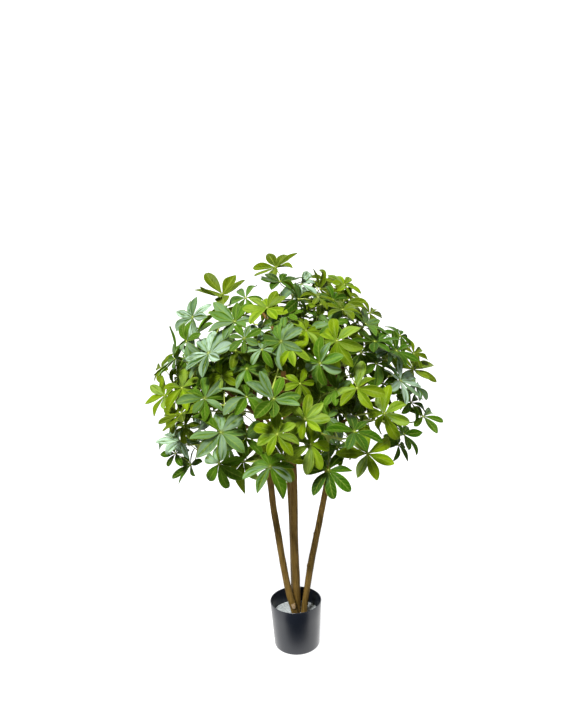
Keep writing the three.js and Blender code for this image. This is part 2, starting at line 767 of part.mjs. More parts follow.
const plant = new THREE.Group();
plant.add(toMesh('pot', toSolid(makePot()), potPlastic));

let fill = toSolid(makeFill());
for (const trunk of Object.values(TRUNKS)) {
  fill = fill.subtract(toSolid(trunkRings(trunk, GAP)));
}
plant.add(toMesh('fill', fill, paleFill));

const cutters = [];
for (const [name, trunk] of Object.entries(TRUNKS)) {
  plant.add(toMesh(`trunk_${name}`, woodSolid(trunk, 0), wood));
  const cutter = woodSolid(trunk, GAP);
  cutters.push({ solid: cutter, box: boxOfSolid(cutter) });
}

const leaves = allLeaves();
const sprays = growSprays(leaves, cutters);
openLeaves(sprays, leaves, cutters);
sprays.forEach((stalks, index) => {
  const name = `spray_${String(index + 1).padStart(2, '0')}`;
  plant.add(toMesh(name, joinSpray(stalks, cutters), leafGreen));
});

export default plant;
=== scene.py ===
"""The looks of a potted schefflera: its pot, plaster fill, trunks, leafy sprays and its stage."""
import math
import random
from collections import namedtuple
from contextlib import contextmanager
from copy import copy

import bmesh
import bpy
from bpy.props import FloatProperty, FloatVectorProperty, IntProperty, PointerProperty
from mathutils import Euler, Matrix, Vector
from mathutils.bvhtree import BVHTree
from mathutils.kdtree import KDTree


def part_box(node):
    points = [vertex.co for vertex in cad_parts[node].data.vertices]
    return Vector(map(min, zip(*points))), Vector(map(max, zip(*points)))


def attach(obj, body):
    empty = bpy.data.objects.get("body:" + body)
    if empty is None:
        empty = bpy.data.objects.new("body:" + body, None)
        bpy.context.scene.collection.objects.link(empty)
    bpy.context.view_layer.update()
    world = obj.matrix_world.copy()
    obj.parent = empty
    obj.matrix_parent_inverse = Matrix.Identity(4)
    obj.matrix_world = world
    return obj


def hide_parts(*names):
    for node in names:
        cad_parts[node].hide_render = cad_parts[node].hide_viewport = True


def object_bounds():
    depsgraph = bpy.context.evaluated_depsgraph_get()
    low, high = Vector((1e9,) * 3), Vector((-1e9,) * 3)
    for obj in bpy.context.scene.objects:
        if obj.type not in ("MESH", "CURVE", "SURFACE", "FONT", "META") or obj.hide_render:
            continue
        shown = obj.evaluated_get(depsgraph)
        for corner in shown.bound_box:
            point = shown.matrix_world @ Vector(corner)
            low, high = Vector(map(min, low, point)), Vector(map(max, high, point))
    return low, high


bl_info = {
    "name": "Potted schefflera",
    "version": (1, 0, 0),
    "blender": (4, 5, 0),
    "location": "3D View > Sidebar > Schefflera",
    "description": "Models and finishes a potted schefflera round its packed frame",
    "category": "Object",
}

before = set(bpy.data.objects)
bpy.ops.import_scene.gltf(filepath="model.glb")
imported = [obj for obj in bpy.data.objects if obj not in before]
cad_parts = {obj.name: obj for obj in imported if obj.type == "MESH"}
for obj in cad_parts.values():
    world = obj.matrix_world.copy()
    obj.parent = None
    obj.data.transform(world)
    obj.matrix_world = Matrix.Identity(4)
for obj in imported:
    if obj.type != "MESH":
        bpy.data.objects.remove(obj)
CAD_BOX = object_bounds()
_, POT_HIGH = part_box("pot")
FILL_LOW, FILL_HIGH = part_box("fill")
TRUNKS = sorted(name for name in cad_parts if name.startswith("trunk_"))
SPRAYS = sorted(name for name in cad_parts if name.startswith("spray_"))

# Reading the frame's leaves: how its corners lie round a leaf's hub
MERGE = 1e-5
NOTCH_REACH = 0.009
STALK_REACH = 0.0045
FEWEST_LEAFLETS = 5
RIB_AT = 0.54
HUB_RISE = 0.002

# The blade as shares of its length: where its rows lie, its stalklet, and each outline with its waves
BLADE_COLUMNS = 4
STALKLET_SHARE = 0.07
STALKLET_HALF = 0.03
BLADE_ROWS = (0.02, STALKLET_SHARE, 0.17, 0.29, 0.42, 0.55, 0.67, 0.78, 0.88, 0.955, 1.0)
BASE_POWER = 0.85
Outline = namedtuple("Outline", "widest_at tip_power wave phase")
OUTLINES = (
    Outline(0.68, 0.5, 0, 0), Outline(0.6, 0.72, 1, 1.2),
    Outline(0.64, 0.62, -1, 0.4), Outline(0.56, 0.86, 1, 2.6),
)

# Hubs of the leaves whose colour the photograph shows, seen from the front: x and z in metres, with how
# near one must be to count and the greatest depth at which it still shows
SHOWN_REACH = 0.03
SHOWN_DEPTH = 0.06
SHOWN_TONES = {
    "lime": (
        (-0.04, 0.955), (0.11, 0.888), (0.15, 0.784), (0.215, 0.715), (0.035, 0.728), (-0.025, 0.705),
        (-0.245, 0.775), (-0.3, 0.742), (0.045, 0.665), (0.045, 0.905), (0.175, 0.622), (-0.11, 0.6),
    ),
    "mid": (
        (0.185, 0.905), (0.072, 0.842), (-0.115, 0.925), (-0.045, 0.612), (-0.01, 0.889), (-0.15, 0.695),
        (-0.162, 0.61), (-0.185, 0.765), (-0.03, 0.777), (-0.265, 0.835), (-0.23, 0.88), (-0.09, 0.773),
        (0.332, 0.66),
    ),
    "pale": (
        (-0.225, 0.925), (0.04, 1), (0.265, 0.768), (-0.175, 0.86), (-0.262, 0.637), (0.03, 0.94),
    ),
    "olive": (
        (-0.155, 0.975), (-0.02, 1.035), (0.14, 0.95), (0.315, 0.772), (0.085, 0.985), (-0.248, 0.718),
    ),
    "dark": (
        (-0.01, 1.005), (0.03, 0.97), (0.2, 0.87), (0.26, 0.835), (0.275, 0.632), (-0.248, 0.563),
        (0.085, 0.592), (0.14, 0.695),
    ),
}

# Each tone's least and most gloss, which also sets how strongly a painted highlight lightens its blades, and
# the tones that are drawn inside the crown and further out
GLOSS_AND_PAINTED_SHEEN = {
    "lime": (0.35, 0.6), "mid": (0.35, 0.72), "pale": (0.6, 1), "olive": (0.3, 0.5), "dark": (0.3, 0.54),
}
INNER_TONES = ("mid", "dark", "lime", "mid", "olive")
OUTER_TONES = ("mid", "mid", "dark", "olive", "pale", "lime")

# Leaves beyond the frame's that show from the front: the hub's place in metres, the way the leaf faces
# (bearing to the viewer's right and lift, in degrees), its turn, leaflet length, leaflets and tone
SHOWN_ADDED = (
    ((-0.093, -0.090, 0.970), -20, 40, 20, 0.055, 6, "mid"),
    ((0.212, 0.000, 0.912), 45, 40, 10, 0.055, 7, "olive"),
    ((0.105, 0.030, 0.995), 40, 45, 15, 0.052, 6, "olive"),
    ((0.155, 0.000, 0.965), 50, 35, 0, 0.050, 6, "olive"),
    ((0.172, -0.160, 0.842), 20, 30, 20, 0.055, 7, "dark"),
    ((0.208, -0.150, 0.812), 35, 35, 0, 0.058, 7, "mid"),
    ((0.245, -0.110, 0.838), 40, 40, 30, 0.055, 6, "pale"),
    ((0.222, -0.160, 0.765), 30, 30, 25, 0.055, 7, "dark"),
    ((0.300, -0.090, 0.700), 50, 35, 10, 0.055, 6, "dark"),
    ((0.315, -0.070, 0.735), 55, 40, 30, 0.050, 6, "pale"),
    ((-0.285, -0.090, 0.590), -25, 40, 15, 0.046, 6, "dark"),
    ((-0.293, -0.080, 0.628), -30, 40, 0, 0.055, 6, "pale"),
    ((0.268, -0.090, 0.592), 40, 40, 40, 0.050, 6, "dark"),
    ((0.108, -0.210, 0.632), 0, 30, 20, 0.055, 7, "mid"),
    ((0.285, -0.020, 0.855), 45, 45, 0, 0.050, 7, "dark"),
    ((-0.100, -0.220, 0.665), -10, 30, 30, 0.055, 7, "mid"),
    ((-0.322, 0.000, 0.790), -60, 35, 20, 0.052, 6, "olive"),
    ((-0.270, -0.150, 0.705), -45, 35, 30, 0.050, 6, "olive"),
    ((-0.245, -0.170, 0.680), -30, 30, 0, 0.048, 6, "olive"),
    ((-0.148, -0.200, 0.807), -25, 35, 15, 0.048, 7, "lime"),
    ((-0.089, -0.230, 0.827), -30, 45, 0, 0.052, 7, "mid"),
    ((0.027, -0.270, 0.798), 20, 30, 25, 0.044, 6, "lime"),
    ((0.106, -0.250, 0.779), -25, 35, 10, 0.048, 7, "mid"),
    ((-0.113, -0.210, 0.865), 15, 50, 20, 0.050, 6, "olive"),
    ((0.010, -0.270, 0.876), -20, 45, 5, 0.046, 7, "lime"),
    ((-0.053, -0.250, 0.872), -10, 55, 30, 0.046, 6, "mid"),
    ((0.084, -0.260, 0.717), 25, 30, 0, 0.046, 6, "mid"),
    ((0.318, -0.030, 0.810), 50, 40, 15, 0.050, 6, "olive"),
)

# The crown's dome: its middle, its reach to the sides and up, its drop, and where its outer leaves begin
CROWN_MIDDLE = Vector((0.015, -0.02, 0.76))
CROWN_REACH = Vector((0.325, 0.3, 0.29))
CROWN_DROP = 0.17
CROWN_SKIN = (0.6, 0.85)
INNER_DEPTH = 0.72
UP = Vector((0, 0, 1))
GOLDEN_ANGLE = math.pi * (3 - math.sqrt(5))

# Where a leaflet's tip starts to curl, how high an added one arches, and how much shorter each second is
CURL_FROM = 0.45
ARCH = 0.16
SHORTER = 0.12

# The blade's finish: veins along the rib, and how much light comes through
VEINS = 8
GLOW_SHARE = 0.27

# Heights between which the bark gets lighter above the fill, and redder inside the crown
BARK_LIGHTER = (0.14, 0.42)
BARK_REDDER = (0.48, 0.75)

# Distances over which the floor's painted reflection, a glow that shows in reflections alone, changes: round
# the dark place, and round the pot
DARK_EDGE = (0.27, 0.36)
BRIGHT_EDGE = (0.4, 0.9)
FAR_GLOSS = 0.2

Leaf = namedtuple("Leaf", "centre face leaflets")


class Leaflet:
    """One leaflet of the frame: its line from the hub to the tip, and its side and length."""

    def __init__(self, centre, rib, tip, side):
        self.centre = centre
        to_rib = rib - centre
        to_tip = tip - centre
        self.bend = (to_tip - to_rib / RIB_AT) / (1 - RIB_AT)
        self.start = to_tip - self.bend
        self.side = side.normalized()
        self.length = to_tip.length

    def place(self, spot, twist, cup, curl):
        """Where a spot of the flat blade, in shares of its length, lies on the twisted, curled leaflet."""
        share = spot.y
        along = (self.start + self.bend * (2 * share)).normalized()
        side = Matrix.Rotation(twist * share, 3, along) @ self.side
        up = side.cross(along).normalized()
        rise = spot.z + cup * spot.x ** 2 - curl * max(0, share - CURL_FROM) ** 2
        return self.on_line(share) + side * (spot.x * self.length) + up * (rise * self.length)

    def turned(self, turn):
        """This leaflet swung about its hub by a rotation."""
        swung = copy(self)
        swung.start = turn @ self.start
        swung.bend = turn @ self.bend
        swung.side = turn @ self.side
        return swung

    def on_line(self, share):
        """The place on the leaflet's rib at a share of its length."""
        return self.centre + self.start * share + self.bend * (share * share)


def in_box(spot, spare):
    """Whether a spot lies in the frame's box, with this much to spare."""
    low, high = CAD_BOX
    return all(low[axis] + spare < spot[axis] < high[axis] - spare for axis in range(3))


def mixed(first, second, share):
    """A number between two numbers."""
    return first + (second - first) * share


def outer_share(spot):
    """How far out in the crown a place lies, from 0 well inside to 1 among its outer leaves."""
    away = spot - CROWN_MIDDLE
    drop = CROWN_REACH.z if away.z > 0 else CROWN_DROP
    depth = math.hypot(away.x / CROWN_REACH.x, away.y / CROWN_REACH.y, away.z / drop)
    inner, outer = CROWN_SKIN
    return min(1, max(0, (depth - inner) / (outer - inner)))


def ring_round(vertex):
    """The neighbours of a vertex, in order round it as seen from outside."""
    following = {}
    for face in vertex.link_faces:
        corners = list(face.verts)
        place = corners.index(vertex)
        following[corners[place - 2]] = corners[place - 1]
    ring = [next(iter(following))]
    while len(ring) < len(following):
        ring.append(following[ring[-1]])
    return ring


def is_leaf_top(vertex):
    """Whether a corner of the frame is the top of a leaf's hub, with a notch beside every leaflet."""
    lengths = [edge.calc_length() for edge in vertex.link_edges]
    notches = [length for length in lengths if length < NOTCH_REACH]
    return len(notches) >= FEWEST_LEAFLETS and min(lengths) > STALK_REACH


def read_leaf(top):
    """The leaf round a hub's top corner, and the frame's corners that belong to it."""
    ring = ring_round(top)
    ribs = [corner for corner in ring if (corner.co - top.co).length > NOTCH_REACH]
    notches = [corner for corner in ring if corner not in ribs]
    middle = sum((corner.co for corner in notches), Vector()) / len(notches)
    face = Vector()
    for here, after in zip(notches, notches[1:] + notches[:1]):
        face += (here.co - middle).cross(after.co - middle)
    face.normalize()
    centre = top.co - face * HUB_RISE
    used = {top, *notches}
    leaflets = []
    for rib in ribs:
        around = ring_round(rib)
        start = around.index(top)
        _, _, waist, widest, tip, far_widest, far_waist, _ = around[start:] + around[:start]
        under = next(edge.other_vert(tip) for edge in tip.link_edges
                     if edge.other_vert(tip) not in (rib, widest, far_widest))
        rib_middle = (rib.co + under.co) / 2
        leaflets.append(Leaflet(centre, rib_middle, tip.co, widest.co - far_widest.co))
        used.update((rib, under, waist, widest, tip, far_waist, far_widest))
    return Leaf(centre, face, leaflets), used


def facing(bearing, lift):
    """The way a leaf faces: its bearing to the viewer's right and its lift above level, in degrees."""
    turn, rise = math.radians(bearing), math.radians(lift)
    level = math.cos(rise)
    return Vector((math.sin(turn) * level, -math.cos(turn) * level, math.sin(rise)))


def turned_leaf(centre, face, turn, length, count, droop):
    """A new leaf with this many leaflets round its face, from the upper one on, which arch and droop."""
    upper = (UP - face * face.z).normalized()
    leaflets = []
    for place in range(count):
        angle = turn + 2 * math.pi * place / count
        out = Matrix.Rotation(-angle, 3, face) @ upper
        size = length * (1 - SHORTER * (place % 2))
        rise = ARCH - (math.tan(droop) + ARCH) * RIB_AT
        rib = centre + (out + face * rise) * (size * RIB_AT)
        tip = centre + (out - face * math.tan(droop)) * size
        leaflets.append(Leaflet(centre, rib, tip, out.cross(face)))
    return Leaf(centre, face, leaflets)


def bezier(start, first, second, end, share):
    """The place and the direction at a share of a smooth curve between two places."""
    rest = 1 - share
    place = (start * rest ** 3 + first * (3 * rest * rest * share) + second * (3 * rest * share * share)
             + end * share ** 3)
    along = ((first - start) * (rest * rest) + (second - first) * (2 * rest * share)
             + (end - second) * share ** 2)
    return place, along.normalized()


def tree_of(spots):
    """A search tree of these places, each known by its number."""
    tree = KDTree(len(spots))
    for number, spot in enumerate(spots):
        tree.insert(spot, number)
    tree.balance()
    return tree


def deselect():
    """Leaves nothing selected, so that the next operator acts on its own piece alone."""
    bpy.ops.object.select_all(action="DESELECT")


def make_active(piece):
    """Selects one piece alone and makes it the active one."""
    deselect()
    piece.select_set(True)
    bpy.context.view_layer.objects.active = piece


@contextmanager
def editing(piece, kind="VERT"):
    """Edit mode on one piece, with all of it selected at first."""
    make_active(piece)
    bpy.ops.object.mode_set(mode="EDIT")
    bpy.ops.mesh.select_mode(type=kind)
    bpy.ops.mesh.select_all(action="SELECT")
    yield
    bpy.ops.object.mode_set(mode="OBJECT")


def pick(piece, parts, wanted):
    """Selects, in edit mode, the vertices, edges or faces that are wanted and nothing else."""
    bpy.ops.mesh.select_all(action="DESELECT")
    shape = bmesh.from_edit_mesh(piece.data)
    for part in getattr(shape, parts):
        if wanted(part):
            part.select_set(True)
    shape.select_flush_mode()
    bmesh.update_edit_mesh(piece.data)


def new_piece(name):
    """Names the object that an operator has just added, and puts its origin where the plant's is."""
    bpy.ops.object.transform_apply(location=True)
    piece = bpy.context.active_object
    piece.name = name
    piece.data.name = name
    return piece


def new_copy(mesh, name):
    """A new object with its own copy of a mesh."""
    piece = bpy.data.objects.new(name, mesh.copy())
    bpy.context.scene.collection.objects.link(piece)
    return piece


def copy_of_node(node, name):
    """A merged copy of a CAD node's loose triangles, as a new object."""
    piece = new_copy(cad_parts[node].data, name)
    piece.data.materials.clear()
    with editing(piece):
        bpy.ops.mesh.remove_doubles(threshold=MERGE)
    return piece


def apply_modifier(piece, kind, **settings):
    """Adds a modifier with these settings and applies it."""
    make_active(piece)
    modifier = piece.modifiers.new(kind.title(), kind)
    for name, value in settings.items():
        setattr(modifier, name, value)
    bpy.ops.object.modifier_apply(modifier=modifier.name)


def rounded(piece, doublings, plump):
    """Rounds a piece by subdividing it, and gives it back what it lost in thickness."""
    apply_modifier(piece, "SUBSURF", levels=doublings, render_levels=doublings)
    with editing(piece):
        bpy.ops.transform.shrink_fatten(value=plump)


def cover(piece, finish, sharp_from=None):
    """Shades the active piece smooth, but for edges as sharp as an angle in degrees, and finishes it."""
    if sharp_from is None:
        bpy.ops.object.shade_smooth()
    else:
        bpy.ops.object.shade_smooth_by_angle(angle=math.radians(sharp_from))
    piece.data.materials.append(finish)


def clouds(name, size, depth):
    """A cloudy texture for a relief, with lumps of this size."""
    texture = bpy.data.textures.new(name, "CLOUDS")
    texture.noise_scale = size
    texture.noise_depth = depth
    return texture


def finish_piece(piece, slot, *nodes):
    """Makes a piece stand for its CAD nodes and move with the plant."""
    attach(piece, "root")
    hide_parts(*nodes)


class Value:
    """A shader socket on which sums, products and the like add their Math nodes."""

    def __init__(self, paint, socket):
        self.paint = paint
        self.socket = socket

    def beside(self, output):
        """Another output of the same node."""
        return Value(self.paint, self.socket.node.outputs[output])

    def __add__(self, other):
        return self.paint.math("ADD", self, other)

    def __radd__(self, other):
        return self.paint.math("ADD", other, self)

    def __sub__(self, other):
        return self.paint.math("SUBTRACT", self, other)

    def __rsub__(self, other):
        return self.paint.math("SUBTRACT", other, self)

    def __mul__(self, other):
        return self.paint.math("MULTIPLY", self, other)

    def __rmul__(self, other):
        return self.paint.math("MULTIPLY", other, self)

    def __abs__(self):
        return self.paint.math("ABSOLUTE", self)


class Paint:
    """A material or world, and the ways in which nodes are added to it."""

    def __init__(self, name, kind="materials", shader="Principled BSDF"):
        self.owner = getattr(bpy.data, kind).new(name)
        self.owner.use_nodes = True
        self.tree = self.owner.node_tree
        self.shader = self.tree.nodes[shader]

    def feed(self, socket, value):
        """Gives a socket a link, or a value of its own."""
        if isinstance(value, Value):
            self.tree.links.new(value.socket, socket)
        else:
            socket.default_value = value

    def node(self, kind, settings=None, inputs=None, output=0):
        """Adds any node: its settings first, then the values or links of its sockets."""
        made = self.tree.nodes.new("ShaderNode" + kind)
        for name, value in (settings or {}).items():
            setattr(made, name, value)
        for name, value in (inputs or {}).items():
            self.feed(made.inputs[name], value)
        return Value(self, made.outputs[output])

    def math(self, operation, *values):
        """A Math node on numbers."""
        return self.node("Math", {"operation": operation}, dict(enumerate(values)))

    def vector_math(self, operation, *values, output=0):
        """A Vector Math node."""
        return self.node("VectorMath", {"operation": operation}, dict(enumerate(values)), output)

    def ramp(self, value, low, high, start=0.0, end=1.0):
        """A smooth step from start to end as value goes from low to high."""
        inputs = {"Value": value, "From Min": low, "From Max": high, "To Min": start, "To Max": end}
        return self.node("MapRange", {"interpolation_type": "SMOOTHSTEP"}, inputs)

    def mix(self, share, first, second, blend="MIX"):
        """A colour between two colours."""
        settings = {"data_type": "RGBA", "blend_type": blend}
        return self.node("Mix", settings, {0: share, 6: opaque(first), 7: opaque(second)}, 2)

    def noise(self, place, scale, detail=2.0):
        """Soft cloudy noise between 0 and 1."""
        return self.node("TexNoise", None, {"Vector": place, "Scale": scale, "Detail": detail})

    def stretched(self, scale=(1, 1, 1)):
        """The place on the object, stretched by a scale for each axis."""
        place = self.node("TexCoord", output="Object")
        return self.node("Mapping", None, {"Vector": place, "Scale": scale})

    def finish(self, **sockets):
        """Feeds the shader's sockets, whose names are given with underscores."""
        for name, value in sockets.items():
            self.feed(self.shader.inputs[name.replace("_", " ")], value)
        return self.owner

    def bump(self, height, distance, strength=1.0):
        """The normal of a surface with this relief, in metres."""
        return self.node("Bump", None, {"Strength": strength, "Distance": distance, "Height": height})


def opaque(colour):
    """A colour with its fourth number, unless it is a link."""
    return colour if isinstance(colour, Value) else (*colour[:3], 1.0)


def times(colour, factor):
    """A colour this many times as bright."""
    return [min(value * factor, 1) for value in colour]


def number_of(name, about, default, **more):
    """A number with this default."""
    return FloatProperty(name=name, description=about, default=default, **more)


def length_of(name, about, default):
    """A length with this default, in metres."""
    return number_of(name, about, default, unit="LENGTH")


def angle_of(name, about, degrees):
    """An angle with this default, in degrees."""
    return number_of(name, about, math.radians(degrees), subtype="ANGLE")


def vector_of(name, about, default, **more):
    """A few numbers with this default."""
    return FloatVectorProperty(name=name, description=about, default=default, size=len(default), **more)


def place_of(name, about, *place):
    """A place with this default, in metres."""
    return vector_of(name, about, place, subtype="TRANSLATION")


def turn_of(name, about, *degrees):
    """A turn with this default, in degrees about each axis."""
    return vector_of(name, about, [math.radians(angle) for angle in degrees], subtype="EULER")


def colour_of(name, *colour):
    """A base colour with this default."""
    return vector_of(name, "Base colour of the " + name.lower(), colour, min=0, max=1, subtype="COLOR")


class PotSettings(bpy.types.PropertyGroup):
    """Sizes and colour of the pot."""

    base_radius: length_of("Base radius", "Radius of the wall's foot", 0.062)
    wall: length_of("Wall", "Thickness of the wall", 0.0022)
    foot_round: length_of("Foot rounding", "Radius of the rounded lower edge", 0.006)
    floor: length_of("Floor", "Thickness of the bottom", 0.003)
    steps: IntProperty(name="Steps round", description="Faces round the pot", default=96, min=12)
    colour: colour_of("Plastic", 0.004, 0.006, 0.011)


class FillSettings(bpy.types.PropertyGroup):
    """Relief and colour of the fill."""

    grain: length_of("Grain", "Height of the grains on top", 0.0016)
    grain_size: length_of("Grain size", "Width of a grain", 0.0045)
    colour: colour_of("Plaster", 0.33, 0.355, 0.355)


class TrunkSettings(bpy.types.PropertyGroup):
    """Relief and colours of the trunks."""

    plump: length_of("Plumpness", "What the wood gets back after it is rounded", 0.0016)
    lump: length_of("Lumps", "Height of the bark's lumps", 0.0012)
    lump_size: length_of("Lump size", "Width of a lump", 0.03)
    bark: colour_of("Bark", 0.24, 0.146, 0.034)
    shade: colour_of("Dark bark", 0.09, 0.053, 0.009)
    young: colour_of("Bark inside the crown", 0.16, 0.075, 0.022)
    cut: colour_of("Cut wood", 0.3, 0.205, 0.11)


class LeafSettings(bpy.types.PropertyGroup):
    """Form and colours of the leaves."""

    seed: IntProperty(name="Seed", description="Draws the leaflets' small differences", default=10)
    half_width: number_of("Half width", "Widest half width as a share of the length", 0.205)
    fold: number_of("Fold", "Rise of the blade's sides as a share of their width", 0.42)
    wave: number_of("Wave", "Height of the edge's waves as a share of the length", 0.012)
    twist: angle_of("Twist", "Most that a leaflet turns about its rib", 28)
    cup: number_of("Cup", "How strongly a leaflet's sides turn down at most", 2.6)
    curl: number_of("Curl", "How strongly a leaflet's tip turns down at most", 0.45)
    swing: angle_of("Swing", "Most that a leaflet swings off its even place", 9)
    added: IntProperty(
        name="Added leaves", description="Most leaves that fill the crown beyond the frame's", default=230)
    added_length: vector_of(
        "Added length", "Shortest and longest leaflet of those", (0.04, 0.06), unit="LENGTH")
    reach: number_of("Reach", "Length of a leaflet as a share of the frame's", 0.985)
    thickness: number_of("Thickness", "Thickness as a share of the length", 0.011)
    plump: length_of("Plumpness", "What the stems get back after they are rounded", 0.00055)
    lime: colour_of("Lime leaves", 0.23, 0.35, 0.004)
    mid: colour_of("Green leaves", 0.085, 0.2, 0.008)
    # Pale blades are pale from the painted highlight; their own colour is a darker, bluer green than the
    # green ones
    pale: colour_of("Pale leaves", 0.055, 0.15, 0.035)
    olive: colour_of("Olive leaves", 0.13, 0.19, 0.002)
    dark: colour_of("Dark leaves", 0.03, 0.1, 0.001)
    # Colour of the painted highlight that lightens the upper side of glossy blades
    sheen: colour_of("Sheen", 0.54, 0.74, 0.56)
    # Ribs and veins; the same colour also paints a highlight along every blade's rim
    rib: colour_of("Ribs", 0.4, 0.52, 0.08)
    glow: colour_of("Light through a blade", 0.42, 0.55, 0.02)
    stem: colour_of("Stems", 0.38, 0.47, 0.06)
    stem_shade: colour_of("Dark stems", 0.12, 0.15, 0.012)


class StageSettings(bpy.types.PropertyGroup):
    """Floor, lights and camera."""

    floor_radius: length_of("Floor radius", "Radius of the floor", 40)
    floor: colour_of("Floor", 0.26, 0.26, 0.26)
    floor_glow: number_of("Floor glow", "How much the floor is brightened for the eye", 0.92)
    # Painted reflection: the floor glows in reflections alone, brightest round the pot and dark round one
    # place in front of it
    painted_reflection_glow: number_of("Floor gloss", "Brightness of the floor round the pot in what mirrors it", 2)
    painted_dark_place: place_of("Dark place", "Middle of the dark patch that the pot mirrors", 0.02, -0.42, 0)
    sky: number_of("Sky", "Strength of the light from all round", 0.16)
    backdrop: number_of("Backdrop", "How bright the surroundings look", 1.1)
    gloss_front: number_of("Front gloss", "Brightness of what the front mirrors", 0.05)
    gloss_back: number_of("Back gloss", "Brightness of what the top and sides mirror", 1.2)
    key: number_of("Key light", "Strength of the soft main light", 5.9)
    key_width: angle_of("Key width", "How wide the main light looks", 14)
    key_lean: turn_of("Key lean", "Turn of the main light", 34, -18, 0)
    back: number_of("Back light", "Strength of the weak light from behind", 1)
    back_width: angle_of("Back width", "How wide the light from behind looks", 60)
    back_lean: turn_of("Back lean", "Turn of the light from behind", -52, 10, 0)
    eye: place_of("Camera place", "Where the camera stands", 0.007, -1.7, 1.127)
    pitch: angle_of("Pitch", "How far the camera looks down", 11.04)
    roll: angle_of("Roll", "Turn of the picture", -2)
    lens: number_of("Lens", "Focal length in millimetres", 33.73)


def pot_plastic(settings):
    """Satin charcoal plastic with a fine moulded grain and faint scuffs."""
    paint = Paint("pot_plastic")
    place = paint.stretched()
    cloud = paint.noise(place, 28, 3)
    grain = paint.noise(place, 900, 2)
    scuffs = paint.ramp(paint.noise(paint.stretched((1, 1, 7)), 60, 4), 0.6, 0.8)
    colour = paint.mix(cloud * 0.5 + scuffs * 0.3, settings.colour, times(settings.colour, 1.5))
    rough = 0.26 + cloud * 0.1 + scuffs * 0.1
    return paint.finish(Base_Color=colour, Roughness=rough, Normal=paint.bump(grain, 0.0001, 0.5))


def plaster(settings):
    """Rough pale plaster with dark and light grains."""
    paint = Paint("plaster")
    place = paint.stretched()
    grains = paint.node("TexVoronoi", None, {"Vector": place, "Scale": 420}, "Color")
    shade = paint.node("SeparateXYZ", None, {"Vector": grains})
    cloud = paint.noise(place, 70, 3)
    share = paint.ramp(shade + cloud * 0.5, 0.2, 1.1)
    colour = paint.mix(share, times(settings.colour, 0.62), times(settings.colour, 1.15))
    height = shade * 0.5 + paint.noise(place, 300, 4) * 0.5
    return paint.finish(Base_Color=colour, Roughness=0.9, Normal=paint.bump(height, 0.0008, 0.8))


def bark(settings):
    """Olive-brown bark with long streaks, fine cracks and small pale pores, redder inside the crown."""
    paint = Paint("bark")
    place = paint.stretched()
    height = paint.node("SeparateXYZ", None, {"Vector": place}, "Z")
    streaks = paint.noise(paint.stretched((1, 1, 0.1)), 260, 5)
    patches = paint.noise(paint.stretched((1, 1, 0.35)), 38, 3)
    pores = paint.node("TexVoronoi", None, {"Vector": paint.stretched((0.5, 0.5, 1)), "Scale": 240})
    pore = paint.ramp(pores, 0.12, 0.3, 1, 0) * paint.ramp(patches, 0.45, 0.6)
    skin = paint.mix(paint.ramp(height, *BARK_REDDER), settings.bark, settings.young)
    tone = paint.ramp(streaks * 0.6 + patches * 0.55, 0.42, 0.68)
    colour = paint.mix(tone, settings.shade, skin)
    colour = paint.mix(pore * 0.35, colour, settings.cut)
    colour = paint.mix(1, colour, paint.ramp(height, *BARK_LIGHTER, 0.76, 1.25), "MULTIPLY")
    relief = streaks * 0.7 + patches * 0.6 - pore * 0.25
    return paint.finish(Base_Color=colour, Roughness=0.62 - tone * 0.12, Specular_IOR_Level=0.12,
                        Normal=paint.bump(relief, 0.0012, 0.7))


def cut_wood(settings):
    """The pale face of a sawn-off stub, with rings."""
    paint = Paint("cut_wood")
    rings = paint.noise(paint.stretched(), 420, 4)
    colour = paint.mix(paint.ramp(rings, 0.35, 0.65), times(settings.cut, 0.6), settings.cut)
    return paint.finish(Base_Color=colour, Roughness=0.7, Normal=paint.bump(rings, 0.0006))


